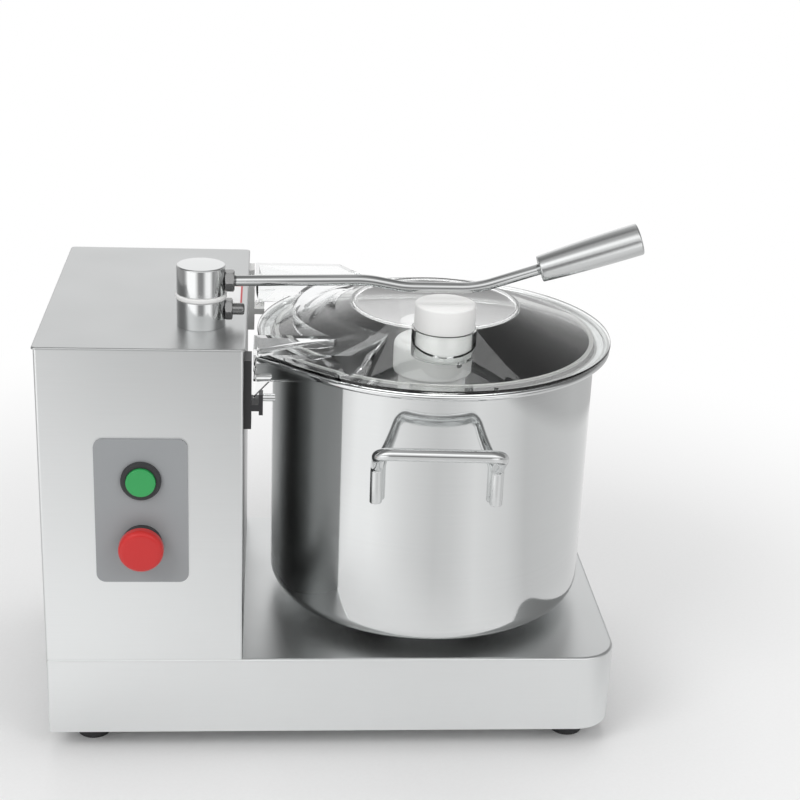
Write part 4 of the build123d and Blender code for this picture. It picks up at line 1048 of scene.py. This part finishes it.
screw_angle = np.radians(-54.0)
screw_height = knob_bottom + 16.0
screw_start, ball_start = 28.0, 35.6
ball_radius, ball_height = 2.9, 2.6
screw_line = np.array([np.cos(screw_angle), np.sin(screw_angle), 0.0])
t = np.linspace(0.0, np.pi / 2, 9)
ball = np.stack([ball_radius * np.cos(t), ball_start + ball_height * np.sin(t)], 1)
ball_profile = np.vstack([[(0.0, screw_start), (ball_radius, screw_start)], ball])
ball_grid = turned(ball_profile, (axis_x, 0, screw_height), screw_line, 32)
ball_mesh = grid_mesh("knob_screw", ball_grid)
add_piece("knob_screw", ball_mesh, nut_steel, "rotor", "steel", "knob_set_screw")

# %% [markdown]
# ## The lever post
#
# Two turned steel cylinders stand on the column with a white nylon ring between them.
# The lower one is fixed and carries a stop, the upper one turns and carries the lever.

# %% Post
post_x = -120.934
post_radius = 20.6
post_base = 381.5
washer_base = post_base + 23.9
head_base = washer_base + 4.5
head_top = head_base + 24.4


def turned_block(low, high, top_round, bottom_round):
    """Profile of a solid cylinder with rounded edges."""
    return np.vstack(
        [
            [(0.0, high)],
            soften(
                [(0.0, high), (post_radius, high), (post_radius, low), (0.0, low)],
                (top_round, bottom_round),
            )[1:],
        ]
    )


post_foot = (post_x, lever_y, 0)
lower_profile = turned_block(post_base, washer_base, 0.6, 0.3)
lower_mesh = grid_mesh("post_lower", turned(lower_profile, post_foot))
add_piece("post_lower", lower_mesh, turned_steel, "machine", "turned_steel", "post_base")
upper_profile = turned_block(head_base, head_top, 1.4, 0.5)
upper_mesh = grid_mesh("post_upper", turned(upper_profile, post_foot))
add_piece("post_upper", upper_mesh, turned_steel, "lever", "turned_steel", "lever_head")
ring_hole = 6.1
ring_radius = post_radius + 1.2
ring_top = washer_base + 4.4
ring_profile = soften(
    [
        (ring_hole, washer_base),
        (ring_radius, washer_base),
        (ring_radius, ring_top),
        (ring_hole, ring_top),
    ],
    (1.6, 1.6),
)
ring_mesh = grid_mesh("post_ring", turned(ring_profile, post_foot), along=True)
add_piece("post_ring", ring_mesh, nylon, "machine", "white_plastic", "post_washer")

# %% [markdown]
# ## The lever
#
# The rod is a bent bar. It leaves the head through a hexagon nut, dips over the plug and
# rises to the grip. A hexagon nut is a surface of two parameters: round the nut the
# radius follows six flats, and towards each end a cone trims the corners, so the radius
# is the smaller of the two.


# %% Hexagon nut
def nut(start, axis, flats, length, bore, sides=96):
    """Nut from start along axis. hexagon(t) = f / cos(t mod 60 deg - 30 deg) with f half
    the flats, cone(h) = 0.94 f + 1.9 h from either end; the radius is the smaller."""
    f = flats / 2
    t = np.linspace(0.0, 2 * np.pi, sides, endpoint=False)
    hexagon = f / np.cos(np.mod(t, np.pi / 3) - np.pi / 6)
    h = length * np.array([0.0, 0.0, 0.04, 0.08, 0.13, 0.5, 0.87, 0.92, 0.96, 1.0, 1.0])
    cone = 0.94 * f + 1.9 * np.minimum(h, length - h)
    radius = np.minimum(hexagon[None], cone[:, None])
    radius[[0, -1]] = bore
    axis = unit(np.array(axis, float))
    side = np.array([0.0, 1.0, 0.0])
    other = np.cross(axis, side)
    ring = np.cos(t)[:, None] * side + np.sin(t)[:, None] * other
    return np.array(start) + h[:, None, None] * axis + radius[..., None] * ring


# %% Rod, nuts and grip
rod_radius = 4.7
bend_radius = 90.0
slope = np.radians(18.5)
dip_z = rim_top + 69.2
crest_z = rim_top + 75.0
rod_z = rim_top + 72.0
in_the_head = post_x + post_radius - 6.0
rise_x, rise_length = axis_x + 26.0, 53.0
rod_in_grip = 12.0
grip_start = np.array([rise_x + rise_length, lever_y, dip_z + rise_length * np.tan(slope)])
grip_line = np.array([np.cos(slope), 0.0, np.sin(slope)])
rod_path = soften(
    [
        (in_the_head, lever_y, rod_z),
        (axis_x - 68.0, lever_y, crest_z),
        (axis_x - 36.0, lever_y, dip_z),
        (rise_x, lever_y, dip_z),
        grip_start + rod_in_grip * grip_line,
    ],
    [bend_radius] * 3,
    steps=14,
)
rod_mesh = grid_mesh("rod_bar", bar(rod_path, rod_radius, (0, 1, 0)))
add_piece("rod_bar", rod_mesh, rod_steel, "lever", "turned_steel", "lever_rod")

nut_line = (1.0, 0.0, 0.0)
nut_flats = 16.5
nut_x = post_x + post_radius - 0.6
nut_start = (nut_x, lever_y, rim_top + 72.4)
nut_mesh = grid_mesh("rod_nut", nut(nut_start, nut_line, nut_flats, 8.1, 4.6), along=True)
add_piece("rod_nut", nut_mesh, nut_steel, "lever", "steel", "lever_lock_nut")
stub_z = post_base + 14.0
stub_nut_grid = nut((nut_x, lever_y, stub_z), nut_line, nut_flats, 6.6, 4.9)
stub_nut_mesh = grid_mesh("stop_nut", stub_nut_grid, along=True)
add_piece("stop_nut", stub_nut_mesh, nut_steel, "machine", "steel", "stub_nut")
pin_radius, pin_length = 5.0, 22.0
pin_side = [(pin_radius, 0.0), (pin_radius, pin_length)]
stub_profile = soften([(0.0, 0.0), *pin_side, (0.0, pin_length)], (0.0, 2.2))
stub_grid = turned(stub_profile, (in_the_head, lever_y, stub_z), nut_line, 48)
stub_mesh = grid_mesh("stop_pin", stub_grid)
add_piece("stop_pin", stub_mesh, nut_steel, "machine", "steel", "stop_stub")


grip_length = 88.6


def grip_profile():
    """Radius r(s) = 11.3 + 0.0587 s - 0.0003567 s^2 along the grip, rounded at its ends."""
    s = np.linspace(0.0, grip_length, 41)
    r = 11.3 + 0.0587 * s - 3.567e-4 * s**2
    start = soften([(0.0, 0.0), (r[0], 0.0), (r[2], s[2])], (1.2,), 6)
    end = soften([(r[-3], s[-3]), (r[-1], s[-1]), (0.0, s[-1])], (1.6,), 8)
    return np.vstack([start[:-1], np.stack([r, s], 1)[2:-2], end[1:]])


grip_mesh = grid_mesh("grip_body", turned(grip_profile(), grip_start, grip_line, 96))
add_piece("grip_body", grip_mesh, grip_steel, "lever", "grip_aluminium", "lever_grip")

# %% [markdown]
# ## Pieces that keep the solid's shape
#
# The yoke that joins the lid to its brackets is cut along the lid's own slope. The
# solid model already has that shape, so a copy of its mesh is merged and shaded smooth.


# %% Smoothed copies
def smooth_copy(node, piece_name, finish, body, slot):
    """Copy of a solid node's mesh with its loose triangles merged."""
    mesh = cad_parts[node].data.copy()
    weld = bmesh.new()
    weld.from_mesh(mesh)
    bmesh.ops.remove_doubles(weld, verts=weld.verts, dist=2e-6)
    weld.to_mesh(mesh)
    weld.free()
    return add_piece(piece_name, mesh, finish, body, slot, node)


smooth_copy("lid_yoke", "yoke_moulding", yoke_plastic, "lid", "clear_lid")

# %% [markdown]
# ## The bare label plate
#
# A thin white plate with a coloured border lies on the top cover behind the post. Nothing
# is written on it. Its border is a mask in the finish: the distance from the plate's
# middle, as a share of its half size, is over a limit in one direction or the other.

# %% Label plate
label_middle = (-96.5, -1.0)
label_half = (9.0, 27.0)
label_thick = 0.3
label_border = 1.6
label_corner = 2.0
cover_top = post_base


def label_finish():
    """White film with a red border: where max(|x| / a, |y| / b) > 1, with a and b the
    plate's half sizes less the border."""
    recipe = Recipe(bpy.data.materials.new("label_film"))
    shift = {"operation": "SUBTRACT"}
    middle = (label_middle[0] * MM, label_middle[1] * MM, 0.0)
    where = recipe.node("ShaderNodeVectorMath", shift, {0: recipe.place(), 1: middle})
    parts = recipe.node("ShaderNodeSeparateXYZ", {}, {0: where}).socket.node.outputs
    across, along = Signal(recipe, parts[0]), Signal(recipe, parts[1])
    across = across.maths("ABSOLUTE", across, 0.0) / ((label_half[0] - label_border) * MM)
    along = along.maths("ABSOLUTE", along, 0.0) / ((label_half[1] - label_border) * MM)
    edge = across.maths("MAXIMUM", across, along)
    border = edge.maths("GREATER_THAN", edge, 1.0)
    wear = recipe.noise((90.0, 90.0, 90.0), detail=4.0)
    paper = recipe.blend(wear, grey(0.70), grey(0.78))
    ink = recipe.blend(wear, (0.42, 0.03, 0.04, 1.0), (0.52, 0.05, 0.06, 1.0))
    inputs = {
        "Base Color": recipe.blend(border, paper, ink),
        "Roughness": 0.38 + wear * 0.12,
        "Normal": recipe.bump(recipe.noise((500.0, 500.0, 500.0)), 4e-6),
    }
    return recipe.surface(recipe.node("ShaderNodeBsdfPrincipled", {}, inputs))


LABEL_SIDES = 48


def label_grid():
    """Plate from rings: the plan of half sizes a and b with corners of radius c is
    centre + corner (a - c, b - c) + c (cos t, sin t), shrunk to its middle at both ends."""
    t = np.linspace(0.0, 2 * np.pi, LABEL_SIDES, endpoint=False) + np.pi / LABEL_SIDES
    corner = np.stack([np.sign(np.cos(t)), np.sign(np.sin(t))], 1)
    round_part = label_corner * np.stack([np.cos(t), np.sin(t)], 1)
    plan = corner * (np.array(label_half) - label_corner) + round_part
    shrink = np.array([0.0, 1.0, 1.0, 0.0])
    height = cover_top + label_thick * np.array([0.0, 0.0, 1.0, 1.0])
    flat = np.array(label_middle) + shrink[:, None, None] * plan
    heights = np.broadcast_to(height[:, None, None], (len(shrink), LABEL_SIDES, 1))
    return np.concatenate([flat, heights], axis=2)


label_mesh = grid_mesh("label_plate", label_grid())
add_piece("label_plate", label_mesh, label_finish(), "machine", "white_plastic")
